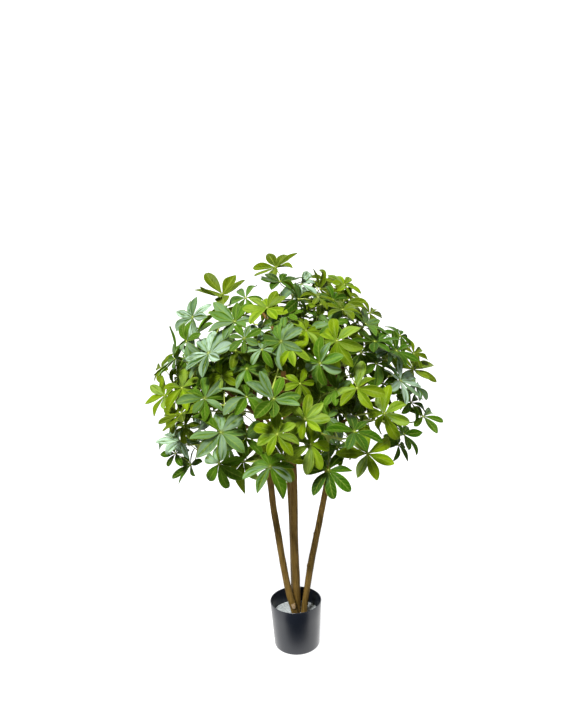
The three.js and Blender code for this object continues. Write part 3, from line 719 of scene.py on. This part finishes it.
def leaf_blade(settings):
    """Satin leaf: its own tone, pale rib and slanting veins, painted highlights along the middle of each
    half and along the rim, paler and duller underneath.
    """
    paint = Paint("leaf_blade")
    blade = paint.node("UVMap", {"uv_map": "blade"})
    spot = paint.node("SeparateXYZ", None, {"Vector": blade})
    along = spot.beside("Y")
    aside = abs(spot - 0.5) * 2
    under = paint.node("Attribute", {"attribute_name": "under"}, output="Fac")
    tone = paint.node("Attribute", {"attribute_name": "tone"}, output="Color")
    gloss = tone.beside("Alpha")
    place = paint.stretched()
    lengthwise = paint.vector_math("MULTIPLY_ADD", blade, (3.2, 1.3, 0), paint.stretched((22, 22, 22)))
    cloud = paint.noise(lengthwise, 1, 5)
    rib = paint.ramp(aside, 0.03, 0.12, 1, 0)
    # Painted highlight: a pale line along the blade's rim
    rim = paint.ramp(aside, 0.82, 1)
    slant = paint.math("PINGPONG", along * VEINS - aside * 1.5, 0.5)
    vein = paint.ramp(slant, 0.02, 0.16, 1, 0) * paint.ramp(aside, 0.5, 1, 1, 0)
    stalklet = paint.ramp(along, 0.08, 0.18, 1, 0)
    deep = paint.mix(1, tone, (0.5, 0.6, 0.4), "MULTIPLY")
    colour = paint.mix(paint.ramp(cloud + along * 0.16, 0.45, 0.68), deep, tone)
    # Painted highlight: the upper side lightens in patches along the middle of each half, more on glossier
    # blades
    middle = 1 - abs(aside - 0.5) * 2
    shine = paint.ramp(cloud + middle * 0.14, 0.41, 0.65) * paint.ramp(gloss, 0.48, 0.95, 0, 0.95)
    colour = paint.mix(shine * (1 - under), colour, settings.sheen)
    colour = paint.mix(under * 0.5, colour, settings.olive)
    # Pale ribs and veins, and the painted rim highlight, in the ribs' colour
    colour = paint.mix(rib * 0.36 + vein * 0.18 + rim * 0.45, colour, settings.rib)
    colour = paint.mix(stalklet * 0.6, colour, paint.mix(0.6, settings.stem, settings.stem_shade))
    rough = 0.55 - gloss * 0.4 + cloud * 0.08 + under * 0.2
    relief = rib * 0.5 + vein * 0.3 + paint.noise(place, 260, 2) * 0.25
    paint.finish(Base_Color=colour, Roughness=rough, IOR=1.4, Specular_IOR_Level=0.07,
                 Normal=paint.bump(relief, 0.0005, 0.8))
    glow = paint.node("BsdfTranslucent", None, {"Color": opaque(settings.glow)})
    satin = Value(paint, paint.shader.outputs[0])
    both = paint.node("MixShader", None, {0: GLOW_SHARE, 1: satin, 2: glow})
    paint.tree.links.new(both.socket, paint.tree.nodes["Material Output"].inputs["Surface"])
    return paint.owner


def leaf_stem(settings):
    """Yellow-green stems with darker patches."""
    paint = Paint("leaf_stem")
    cloud = paint.noise(paint.stretched(), 24, 3)
    streaks = paint.noise(paint.stretched((1, 1, 0.2)), 300, 3)
    colour = paint.mix(paint.ramp(cloud + streaks * 0.3, 0.4, 0.65), settings.stem_shade, settings.stem)
    return paint.finish(Base_Color=colour, Roughness=0.45, Normal=paint.bump(streaks, 0.0004, 0.5))


def studio_world(settings):
    """White for the eye, weaker as light, and in the gloss dark in front of the plant alone."""
    paint = Paint("studio", "worlds", "Background")
    path = paint.node("LightPath", output="Is Camera Ray")
    glossy = path.beside("Is Glossy Ray")
    way = paint.node("SeparateXYZ", None, {"Vector": paint.node("TexCoord", output="Generated")})
    behind = abs(way) * 0.6 + way.beside("Y") * 0.7 + way.beside("Z") * 0.5
    shine = paint.ramp(behind, -0.4, 0.6, settings.gloss_front, settings.gloss_back)
    lit = (1 - path) * ((1 - glossy) * settings.sky + glossy * shine)
    return paint.finish(Color=(1, 1, 1, 1), Strength=lit + path * settings.backdrop)


def studio_floor(settings):
    """Plain pale floor, evenly bright for the eye; in reflections alone it glows, a painted reflection that
    the pot mirrors bright on both sides and dark in front.
    """
    paint = Paint("studio_floor")
    seen = paint.node("LightPath", output="Is Camera Ray")
    glossy = seen.beside("Is Glossy Ray")
    place = paint.stretched()
    # Painted reflection: for glossy rays the floor is black and glows instead, bright near the pot, faint
    # far off, dark round the dark place
    from_dark = paint.vector_math("DISTANCE", place, settings.painted_dark_place, output="Value")
    from_pot = paint.vector_math("LENGTH", place, output="Value")
    around = paint.ramp(from_pot, *BRIGHT_EDGE, settings.painted_reflection_glow, FAR_GLOSS)
    painted_reflection = paint.ramp(from_dark, *DARK_EDGE) * around
    colour = paint.mix(glossy, settings.floor, (0, 0, 0))
    return paint.finish(Base_Color=colour, Roughness=0.9, Emission_Strength=1,
                        Emission_Color=seen * settings.floor_glow + glossy * painted_reflection)


class SCHEFFLERA_OT_pot(bpy.types.Operator):
    """Models the pot: a thin tapered wall with rounded edges, drawn up ring by ring from its base"""

    bl_idname = "schefflera.pot"
    bl_label = "Pot"

    BASE_INSET = 0.004
    BASE_RISE = 0.0015
    ROUND_STEPS = 6
    WALL_SHARES = (0.35, 0.7)
    SHARP_FROM = 40

    def execute(self, context):
        settings = context.scene.schefflera_pot
        rings = self.rings(settings)
        radius, height = rings[0]
        deselect()
        bpy.ops.mesh.primitive_circle_add(
            vertices=settings.steps, radius=radius, fill_type="NGON", location=(0, 0, height))
        pot = new_piece("pot_wall")
        with editing(pot):
            bpy.ops.mesh.flip_normals()
            for start, ring in zip(rings, rings[1:]):
                self.draw_up(start, ring)
            bpy.ops.mesh.edge_face_add()
            bpy.ops.mesh.select_all(action="SELECT")
            bpy.ops.mesh.normals_make_consistent(inside=False)
        cover(pot, pot_plastic(settings), self.SHARP_FROM)
        finish_piece(pot, "pot", "pot")
        return {"FINISHED"}

    def rings(self, settings):
        """Radius and height of each ring: from the base up the outside, over the rim and down inside."""
        corner, base = settings.foot_round, settings.base_radius
        rim, top = POT_HIGH.x, POT_HIGH.z
        lip = settings.wall / 2
        slope = (rim - base) / top
        rings = [(base - corner - self.BASE_INSET, self.BASE_RISE), (base - corner, 0)]
        for step in range(1, self.ROUND_STEPS + 1):
            angle = math.radians(90 * step / self.ROUND_STEPS)
            turn = Vector((math.sin(angle), 1 - math.cos(angle))) * corner
            rings.append((base - corner + turn.x + slope * turn.y, turn.y))
        for share in self.WALL_SHARES:
            height = corner + (top - corner) * share
            rings.append((base + slope * height, height))
        for step in range(self.ROUND_STEPS + 1):
            angle = math.radians(180 * step / self.ROUND_STEPS)
            rings.append((rim - lip + lip * math.cos(angle), top - lip + lip * math.sin(angle)))
        inner = base - settings.wall
        for height in (FILL_HIGH.z, top / 2, settings.floor + corner):
            rings.append((inner + slope * height, height))
        rings.append((inner - corner, settings.floor))
        return rings

    def draw_up(self, start, ring):
        """Extrudes the open ring of edges from one radius and height to the next."""
        bpy.ops.mesh.extrude_edges_move(TRANSFORM_OT_translate={"value": (0, 0, ring[1] - start[1])})
        widen = ring[0] / start[0]
        bpy.ops.transform.resize(value=(widen, widen, 1), center_override=(0, 0, ring[1]))


class SCHEFFLERA_OT_fill(bpy.types.Operator):
    """Models the plaster fill: a plug with a grainy top"""

    bl_idname = "schefflera.fill"
    bl_label = "Fill"

    STEPS = 72
    INSETS = 8
    DOUBLINGS = 2
    CENTRE = 0.06
    LEVEL = 0.9
    EDGE_FADE = 12
    SHARP_FROM = 50

    def execute(self, context):
        settings = context.scene.schefflera_fill
        depth = FILL_HIGH.z - FILL_LOW.z
        top_radius = FILL_HIGH.x
        narrow = (POT_HIGH.x - context.scene.schefflera_pot.base_radius) / POT_HIGH.z * depth
        deselect()
        bpy.ops.mesh.primitive_cylinder_add(
            vertices=self.STEPS, radius=top_radius, depth=depth, location=(0, 0, FILL_LOW.z + depth / 2))
        fill = new_piece("plaster_fill")
        shrink = (top_radius - narrow) / top_radius
        with editing(fill):
            pick(fill, "verts", lambda vertex: vertex.co.z < FILL_HIGH.z - depth / 2)
            bpy.ops.transform.resize(value=(shrink, shrink, 1), center_override=(0, 0, FILL_LOW.z))
            bpy.ops.mesh.select_mode(type="FACE")
            pick(fill, "faces", lambda face: face.normal.z > self.LEVEL)
            for _ in range(self.INSETS):
                bpy.ops.mesh.inset(thickness=top_radius * (1 - self.CENTRE) / self.INSETS)
            bpy.ops.mesh.poke()
            pick(fill, "faces", lambda face: face.normal.z > self.LEVEL)
            bpy.ops.mesh.subdivide(number_cuts=self.DOUBLINGS)
        self.roughen(fill, settings, top_radius)
        cover(fill, plaster(settings), self.SHARP_FROM)
        finish_piece(fill, "fill", "fill")
        return {"FINISHED"}

    def roughen(self, fill, settings, top_radius):
        """Gives the top its grains, which fade out at the pot's wall, all below the frame's own top."""
        top = fill.vertex_groups.new(name="top")
        for vertex in fill.data.vertices:
            if vertex.co.z > FILL_HIGH.z - MERGE:
                edge = 1 - math.hypot(vertex.co.x, vertex.co.y) / top_radius
                top.add([vertex.index], min(1, edge * self.EDGE_FADE), "REPLACE")
        apply_modifier(fill, "DISPLACE", texture=clouds("grains", settings.grain_size, 3),
                       texture_coords="LOCAL", direction="Z", vertex_group="top",
                       strength=settings.grain * 2, mid_level=1)
        fill.vertex_groups.clear()


class SCHEFFLERA_OT_trunks(bpy.types.Operator):
    """Rounds and roughens a copy of each trunk of the frame, with the sawn face of the left one's stub"""

    bl_idname = "schefflera.trunks"
    bl_label = "Trunks"

    DOUBLINGS = 3
    STUB = Vector((-0.006, -0.024, 0.122))
    STUB_REACH = 0.009
    STUB_FACING = Vector((0.1, -0.95, 0.25)).normalized()
    SAWN = 0.8

    def execute(self, context):
        settings = context.scene.schefflera_trunk
        skin = bark(settings)
        sawn = cut_wood(settings)
        lumps = clouds("lumps", settings.lump_size, 2)
        for node in TRUNKS:
            trunk = copy_of_node(node, node.replace("trunk", "wood"))
            with editing(trunk):
                bpy.ops.mesh.tris_convert_to_quads()
            rounded(trunk, self.DOUBLINGS, settings.plump)
            apply_modifier(trunk, "DISPLACE", texture=lumps, texture_coords="LOCAL",
                           strength=settings.lump, mid_level=0.5)
            cover(trunk, skin)
            trunk.data.materials.append(sawn)
            for face in trunk.data.polygons:
                near = (face.center - self.STUB).length < self.STUB_REACH
                if near and face.normal.dot(self.STUB_FACING) > self.SAWN:
                    face.material_index = 1
            finish_piece(trunk, "bark", node)
        return {"FINISHED"}


class SCHEFFLERA_OT_sprays(bpy.types.Operator):
    """Models leaflets, a hub and a stalk, and lays copies of them along every leaf of the rounded sprays"""

    bl_idname = "schefflera.sprays"
    bl_label = "Leafy sprays"

    # Blades: their sizes, how they cup and curl, and how their two sides swell between the rims
    WIDTHS = (0.84, 1.04)
    REACHES = (0.93, 1)
    CUPS = (-1, 0.4)
    CURLS = (-0.3, 1)
    TIP_SPARE = 0.006
    WAVES = 9
    BETWEEN_RIMS = 0.75
    STALKLET_PLUMP = 2.2
    KEEL = 1.9
    GROOVE = 0.5
    PARKED = 2
    LOWERED = 1
    SHARP_FROM = 70

    # How bright a blade is at random, and the painted shade well inside the crown: how much darker it is
    # there, with less gloss and painted highlight
    SHADES = (0.66, 1.25)
    PAINTED_INNER_SHADE = 0.45
    INNER_GLOSS_AND_PAINTED_SHEEN = 0.5

    # Stems, hubs, and the stalks of the added leaves
    STEM_DOUBLINGS = 2
    WOOD_REACH = 0.0008
    ROOT_DEPTH = 0.003
    HUB_RADIUS = 0.0026
    STALK_RADIUS = 0.0011
    STALK_SIDES = 6
    STALK_STEPS = 8
    STALK_LENGTHS = (0.03, 0.15)
    BEHIND = 0.25
    RISE_AT = 0.4
    RISE = 0.15
    ARRIVE = 0.35

    # Added leaves that are drawn: how many are tried, where they lie, how they face and what they keep clear
    ADDED_TRIES = 4000
    ADDED_DEPTHS = (0.5, 0.92)
    ADDED_COUNTS = (6, 7, 7, 8)
    ADDED_DROOPS = (-5, 25)
    GOLDEN_SHARE = 0.618
    LIFT = 0.5
    LEAN = 0.5
    HUB_APART = 0.037
    RIB_SHARES = (0.45, 0.8)
    RIB_APART = 0.0095

    def execute(self, context):
        self.settings = context.scene.schefflera_leaf
        self.draw = random.Random(self.settings.seed)
        self.wood = self.wood_tree()
        self.blade_finish = leaf_blade(self.settings)
        self.stem_finish = leaf_stem(self.settings)
        self.blades = [self.model_blade(outline) for outline in OUTLINES]
        self.hub = self.model_hub()
        self.stalk = self.model_stalk()
        sprays = [self.read_spray(node) for node in SPRAYS]
        added = self.add_leaves(sprays)
        for (stems, leaves), more in zip(sprays, added):
            self.join_spray(stems, leaves, more)
        for model in (*self.blades, self.hub, self.stalk):
            bpy.data.objects.remove(model)
        for (stems, _), node in zip(sprays, SPRAYS):
            finish_piece(stems, "leaf", node)
        return {"FINISHED"}

    def wood_tree(self):
        """The surface of all the frame's wood, for finding where stems are rooted."""
        shape = bmesh.new()
        for node in TRUNKS:
            shape.from_mesh(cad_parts[node].data)
        tree = BVHTree.FromBMesh(shape)
        shape.free()
        return tree

    def half_width(self, share, outline):
        """Half width of the blade at a share of its length: a thin stalklet, then a rounded outline."""
        if share <= STALKLET_SHARE:
            return STALKLET_HALF
        if share >= 1:
            return 0
        if share < outline.widest_at:
            grown = (share - STALKLET_SHARE) / (outline.widest_at - STALKLET_SHARE)
            swell = math.sin(math.pi / 2 * grown) ** BASE_POWER
        else:
            waned = (share - outline.widest_at) / (1 - outline.widest_at)
            swell = math.cos(math.pi / 2 * waned) ** outline.tip_power
        return max(STALKLET_HALF, self.settings.half_width * swell)

    def model_blade(self, outline):
        """A leaflet one unit long, from a grid: its outline row by row, fold, waves and thin underside."""
        settings = self.settings
        rows = len(BLADE_ROWS) - 1
        deselect()
        bpy.ops.mesh.primitive_grid_add(
            x_subdivisions=BLADE_COLUMNS, y_subdivisions=rows, size=1, location=(0, 0.5, 0))
        blade = new_piece("blade")
        blade.data.uv_layers[0].name = "blade"
        with editing(blade):
            for row, share in reversed(list(enumerate(BLADE_ROWS))):
                even = row / rows
                pick(blade, "verts", lambda vertex: abs(vertex.co.y - even) < MERGE)
                widen = self.half_width(share, outline) * 2
                bpy.ops.transform.resize(value=(widen, 1, 1), center_override=(0, even, 0))
                bpy.ops.transform.translate(value=(0, share - even + self.PARKED, 0))
            bpy.ops.mesh.select_all(action="SELECT")
            bpy.ops.transform.translate(value=(0, -self.PARKED, 0))
        for vertex in blade.data.vertices:
            side, share = vertex.co.x, vertex.co.y
            wave = math.sin(share * self.WAVES + outline.phase) * outline.wave * settings.wave
            flat = abs(side) / settings.half_width
            vertex.co.z = settings.fold * abs(side) + wave * flat
        self.thicken(blade, outline)
        return blade

    def thicken(self, blade, outline):
        """Adds the underside and swells both sides between the rims, with a keel under the rib."""
        half = self.settings.thickness / 2
        with editing(blade, "FACE"):
            bpy.ops.mesh.duplicate()
            bpy.ops.mesh.flip_normals()
            shape = bmesh.from_edit_mesh(blade.data)
            under = shape.faces.layers.float.new("under")
            for face in shape.faces:
                face[under] = float(face.select)
            bmesh.update_edit_mesh(blade.data)
            pick(blade, "faces", lambda face: face[under] > 0.5)
            bpy.ops.transform.translate(value=(0, 0, -self.LOWERED))
        for vertex in blade.data.vertices:
            below = vertex.co.z < -self.LOWERED / 2
            if below:
                vertex.co.z += self.LOWERED
            room = self.half_width(vertex.co.y, outline)
            aside = abs(vertex.co.x)
            if aside < room * self.BETWEEN_RIMS:
                slim = 1 if room > STALKLET_HALF else self.STALKLET_PLUMP
                swell = (self.KEEL if below else self.GROOVE) if aside < MERGE else 1
                vertex.co.z += half * slim * (-swell if below else swell)
        with editing(blade):
            bpy.ops.mesh.remove_doubles(threshold=MERGE)
        cover(blade, self.blade_finish, self.SHARP_FROM)
        blade.data.color_attributes.new("tone", "FLOAT_COLOR", "POINT")

    def model_hub(self):
        """The small round knob in which a leaf's stalklets meet its stalk."""
        deselect()
        bpy.ops.mesh.primitive_uv_sphere_add(segments=8, ring_count=5, radius=self.HUB_RADIUS)
        hub = new_piece("hub")
        cover(hub, self.stem_finish)
        return hub

    def model_stalk(self):
        """A straight stalk one unit long, in short steps so that its copies can bend."""
        deselect()
        bpy.ops.mesh.primitive_cylinder_add(
            vertices=self.STALK_SIDES, radius=self.STALK_RADIUS, depth=1, location=(0, 0, 0.5))
        stalk = new_piece("stalk")
        with editing(stalk, "EDGE"):
            pick(stalk, "edges", lambda edge: edge.calc_length() > 0.5)
            bpy.ops.mesh.subdivide(number_cuts=self.STALK_STEPS - 1)
        cover(stalk, self.stem_finish, self.SHARP_FROM)
        return stalk

    def add_leaves(self, sprays):
        """More leaves in the crown's gaps, each on a stalk from the nearest stem, for every spray."""
        added = [[] for _ in sprays]
        hubs = [leaf.centre for _, leaves in sprays for leaf in leaves]
        ribs = [spot for _, leaves in sprays for leaf in leaves for spot in self.rib_spots(leaf)]
        seats = [(vertex.co.copy(), spray) for spray, (stems, _) in enumerate(sprays)
                 for vertex in stems.data.vertices]
        seat_tree = tree_of([spot for spot, _ in seats])

        def add(leaf, tone):
            """Seats a leaf on its nearest stem, if there is one behind it."""
            number = self.seat_for(leaf, seat_tree)
            if number is None:
                return False
            seat, spray = seats[number]
            added[spray].append((leaf, seat, tone))
            hubs.append(leaf.centre)
            ribs.extend(self.rib_spots(leaf))
            return True

        for place, bearing, lift, turn, length, count, tone in SHOWN_ADDED:
            face = facing(bearing, lift)
            leaf = turned_leaf(Vector(place), face, math.radians(turn), length, count, self.drawn_droop())
            if not add(leaf, tone):
                raise RuntimeError(f"no stem is near enough to {place}")
        drawn = 0
        for attempt in range(self.ADDED_TRIES):
            leaf = self.drawn_leaf(attempt)
            if drawn < self.settings.added and self.has_room(leaf, hubs, ribs):
                drawn += add(leaf, self.tone_of(leaf))
        return added

    def rib_spots(self, leaf):
        """Places on the ribs of a leaf's leaflets."""
        return [leaflet.on_line(share) for leaflet in leaf.leaflets for share in self.RIB_SHARES]

    def drawn_droop(self):
        """How far the leaflets of an added leaf hang."""
        return math.radians(self.draw.uniform(*self.ADDED_DROOPS))

    def drawn_leaf(self, attempt):
        """A leaf drawn at some depth of the crown, facing outwards and up."""
        height = 1 - 2 * ((attempt * self.GOLDEN_SHARE) % 1)
        around = attempt * GOLDEN_ANGLE
        level = math.sqrt(1 - height * height)
        out = Vector((math.cos(around) * level, math.sin(around) * level, height))
        reach = CROWN_REACH.copy()
        if height < 0:
            reach.z = CROWN_DROP
        centre = CROWN_MIDDLE + out * reach * self.draw.uniform(*self.ADDED_DEPTHS)
        lean = Vector([self.draw.uniform(-self.LEAN, self.LEAN) for _ in range(3)])
        face = (out + UP * self.LIFT + lean).normalized()
        length = self.draw.uniform(*self.settings.added_length)
        return turned_leaf(centre, face, self.draw.uniform(0, math.tau), length,
                           self.draw.choice(self.ADDED_COUNTS), self.drawn_droop())

    def has_room(self, leaf, hubs, ribs):
        """Whether a leaf lies in the frame's box and clear of the leaves that are there."""
        inside = all(in_box(leaflet.on_line(1), self.TIP_SPARE) for leaflet in leaf.leaflets)
        if not inside or min((hub - leaf.centre).length for hub in hubs) < self.HUB_APART:
            return False
        tree = tree_of(ribs)
        return all(tree.find(spot)[2] > self.RIB_APART for spot in self.rib_spots(leaf))

    def seat_for(self, leaf, seat_tree):
        """The nearest place of a stem behind the leaf that a stalk can grow from."""
        shortest, longest = self.STALK_LENGTHS
        for spot, place, distance in seat_tree.find_range(leaf.centre, longest):
            behind = (leaf.centre - spot).dot(leaf.face) > self.BEHIND * distance
            if behind and distance > shortest:
                return place
        return None

    def read_spray(self, node):
        """The rounded stems of one spray of the frame, and its leaves."""
        stems = copy_of_node(node, node.replace("spray", "leafy_spray"))
        shape = bmesh.new()
        shape.from_mesh(stems.data)
        leaves = []
        used = set()
        for top in [vertex for vertex in shape.verts if is_leaf_top(vertex)]:
            leaf, corners = read_leaf(top)
            leaves.append(leaf)
            used |= corners
        bmesh.ops.delete(shape, geom=list(used), context="VERTS")
        shape.to_mesh(stems.data)
        shape.free()
        self.round_stems(stems)
        return stems, leaves

    def join_spray(self, stems, leaves, more):
        """Joins a spray's stems with the hubs and blades of its leaves and of those added to it."""
        parts = [self.place_stalk(leaf, seat) for leaf, seat, _ in more]
        toned = [(leaf, self.tone_of(leaf)) for leaf in leaves]
        toned += [(leaf, tone) for leaf, _, tone in more]
        for leaf, tone in toned:
            parts.append(self.place_hub(leaf))
            parts += [self.place_blade(leaflet, tone) for leaflet in leaf.leaflets]
        make_active(stems)
        for part in parts:
            part.select_set(True)
        bpy.ops.object.join()

    def place_stalk(self, leaf, seat):
        """A copy of the stalk bent from its seat on a stem to the back of a leaf."""
        stalk = new_copy(self.stalk.data, "stalk")
        reach = (leaf.centre - seat).length
        rise = seat + (leaf.centre - seat) * self.RISE_AT + UP * (self.RISE * reach)
        arrive = leaf.centre - leaf.face * (self.ARRIVE * reach)
        for vertex in stalk.data.vertices:
            share = vertex.co.z
            line, along = bezier(seat, rise, arrive, leaf.centre, share)
            side = along.orthogonal().normalized()
            vertex.co = line + side * vertex.co.x + along.cross(side) * vertex.co.y
        return stalk

    def round_stems(self, stems):
        """Closes the stems' ends, rounds them with their ends held, and sinks their roots in the wood."""
        with editing(stems):
            bpy.ops.mesh.fill_holes(sides=0)
            bpy.ops.mesh.tris_convert_to_quads()
            shape = bmesh.from_edit_mesh(stems.data)
            crease = shape.edges.layers.float.new("crease_edge")
            for vertex in shape.verts:
                spot, _, _, distance = self.wood.find_nearest(vertex.co)
                if distance < self.WOOD_REACH:
                    for edge in vertex.link_edges:
                        edge[crease] = 1
                    vertex.co += (spot - vertex.co).normalized() * self.ROOT_DEPTH
            bmesh.update_edit_mesh(stems.data)
        rounded(stems, self.STEM_DOUBLINGS, self.settings.plump)
        cover(stems, self.stem_finish)
        stems.data.color_attributes.new("tone", "FLOAT_COLOR", "POINT")

    def place_hub(self, leaf):
        """A copy of the hub on a leaf."""
        hub = new_copy(self.hub.data, "hub")
        hub.data.transform(Matrix.Translation(leaf.centre))
        return hub

    def place_blade(self, leaflet, tone):
        """A copy of a blade laid along a leaflet, a little twisted, in its own shade of colour at random,
        and darkened with painted shade well inside the crown.
        """
        settings = self.settings
        blade = new_copy(self.draw.choice(self.blades).data, "blade")
        twist = self.draw.uniform(-1, 1) * settings.twist
        cup = self.draw.uniform(*self.CUPS) * settings.cup
        curl = self.draw.uniform(*self.CURLS) * settings.curl
        reach = settings.reach * self.draw.uniform(*self.REACHES)
        leaflet = self.swung(leaflet)
        size = Vector((reach * self.draw.uniform(*self.WIDTHS), reach, reach))
        for vertex in blade.data.vertices:
            vertex.co = leaflet.place(vertex.co * size, twist, cup, curl)
        # Painted shade: well inside the crown a blade is darkened and has less gloss and painted highlight
        outer = outer_share(leaflet.on_line(0.5))
        shade = self.draw.uniform(*self.SHADES) * mixed(self.PAINTED_INNER_SHADE, 1, outer)
        gloss = self.draw.uniform(*GLOSS_AND_PAINTED_SHEEN[tone]) * mixed(self.INNER_GLOSS_AND_PAINTED_SHEEN, 1, outer)
        colour = times(getattr(settings, tone), shade) + [gloss]
        blade.data.color_attributes["tone"].data.foreach_set("color", colour * len(blade.data.vertices))
        return blade

    def swung(self, leaflet):
        """A leaflet swung a little off its even place, unless its tip would leave the frame's box."""
        swing = [self.draw.uniform(-1, 1) * self.settings.swing for _ in range(3)]
        turned = leaflet.turned(Euler(swing).to_matrix())
        return turned if in_box(turned.on_line(1), self.TIP_SPARE) else leaflet

    def tone_of(self, leaf):
        """The tone of a leaf: the photograph's where it shows, else one for its depth in the crown."""
        hub = leaf.centre
        if hub.y < SHOWN_DEPTH:
            for tone, places in SHOWN_TONES.items():
                if any(math.hypot(hub.x - x, hub.z - z) < SHOWN_REACH for x, z in places):
                    return tone
        away = hub - CROWN_MIDDLE
        depth = math.hypot(*(away[axis] / CROWN_REACH[axis] for axis in range(3)))
        return self.draw.choice(INNER_TONES if depth < INNER_DEPTH else OUTER_TONES)


class SCHEFFLERA_OT_stage(bpy.types.Operator):
    """Sets the pale floor, the soft light and the camera"""

    bl_idname = "schefflera.stage"
    bl_label = "Stage"

    FLOOR_STEPS = 64

    def execute(self, context):
        settings = context.scene.schefflera_stage
        deselect()
        bpy.ops.mesh.primitive_circle_add(
            vertices=self.FLOOR_STEPS, radius=settings.floor_radius, fill_type="NGON")
        floor = new_piece("studio_floor")
        floor.data.materials.append(studio_floor(settings))
        context.scene.world = studio_world(settings)
        for name in ("key", "back"):
            bpy.ops.object.light_add(type="SUN", rotation=getattr(settings, name + "_lean"))
            light = context.active_object
            light.name = name + "_light"
            light.data.energy = getattr(settings, name)
            light.data.angle = getattr(settings, name + "_width")
        bpy.ops.object.camera_add(location=settings.eye)
        camera = context.active_object
        look = Euler((math.radians(90) - settings.pitch, 0, 0)).to_quaternion()
        camera.rotation_euler = (look @ Euler((0, 0, settings.roll)).to_quaternion()).to_euler()
        camera.data.lens = settings.lens
        context.scene.camera = camera
        context.scene.view_settings.view_transform = "Standard"
        return {"FINISHED"}


class SCHEFFLERA_PT_panel(bpy.types.Panel):
    """Lists the plant's pieces and what can be changed about them"""

    bl_idname = "SCHEFFLERA_PT_panel"
    bl_label = "Schefflera"
    bl_space_type = "VIEW_3D"
    bl_region_type = "UI"
    bl_category = "Schefflera"

    def draw(self, context):
        for group, operator in zip(GROUPS, OPERATORS):
            settings = getattr(context.scene, group)
            box = self.layout.box()
            box.operator(operator.bl_idname)
            for name in settings.bl_rna.properties.keys():
                if name not in ("rna_type", "name"):
                    box.prop(settings, name)


GROUPS = {
    "schefflera_pot": PotSettings,
    "schefflera_fill": FillSettings,
    "schefflera_trunk": TrunkSettings,
    "schefflera_leaf": LeafSettings,
    "schefflera_stage": StageSettings,
}
OPERATORS = (
    SCHEFFLERA_OT_pot,
    SCHEFFLERA_OT_fill,
    SCHEFFLERA_OT_trunks,
    SCHEFFLERA_OT_sprays,
    SCHEFFLERA_OT_stage,
)
CLASSES = (*GROUPS.values(), *OPERATORS, SCHEFFLERA_PT_panel)


def register():
    """Adds the classes, and the settings to every scene."""
    for each in CLASSES:
        bpy.utils.register_class(each)
    for name, group in GROUPS.items():
        setattr(bpy.types.Scene, name, PointerProperty(type=group))


def unregister():
    """Takes the settings and the classes away again."""
    for name in GROUPS:
        delattr(bpy.types.Scene, name)
    for each in reversed(CLASSES):
        bpy.utils.unregister_class(each)


def main():
    """Builds every piece and the stage."""
    register()
    bpy.ops.schefflera.pot()
    bpy.ops.schefflera.fill()
    bpy.ops.schefflera.trunks()
    bpy.ops.schefflera.sprays()
    bpy.ops.schefflera.stage()


if __name__ == "__main__":
    main()
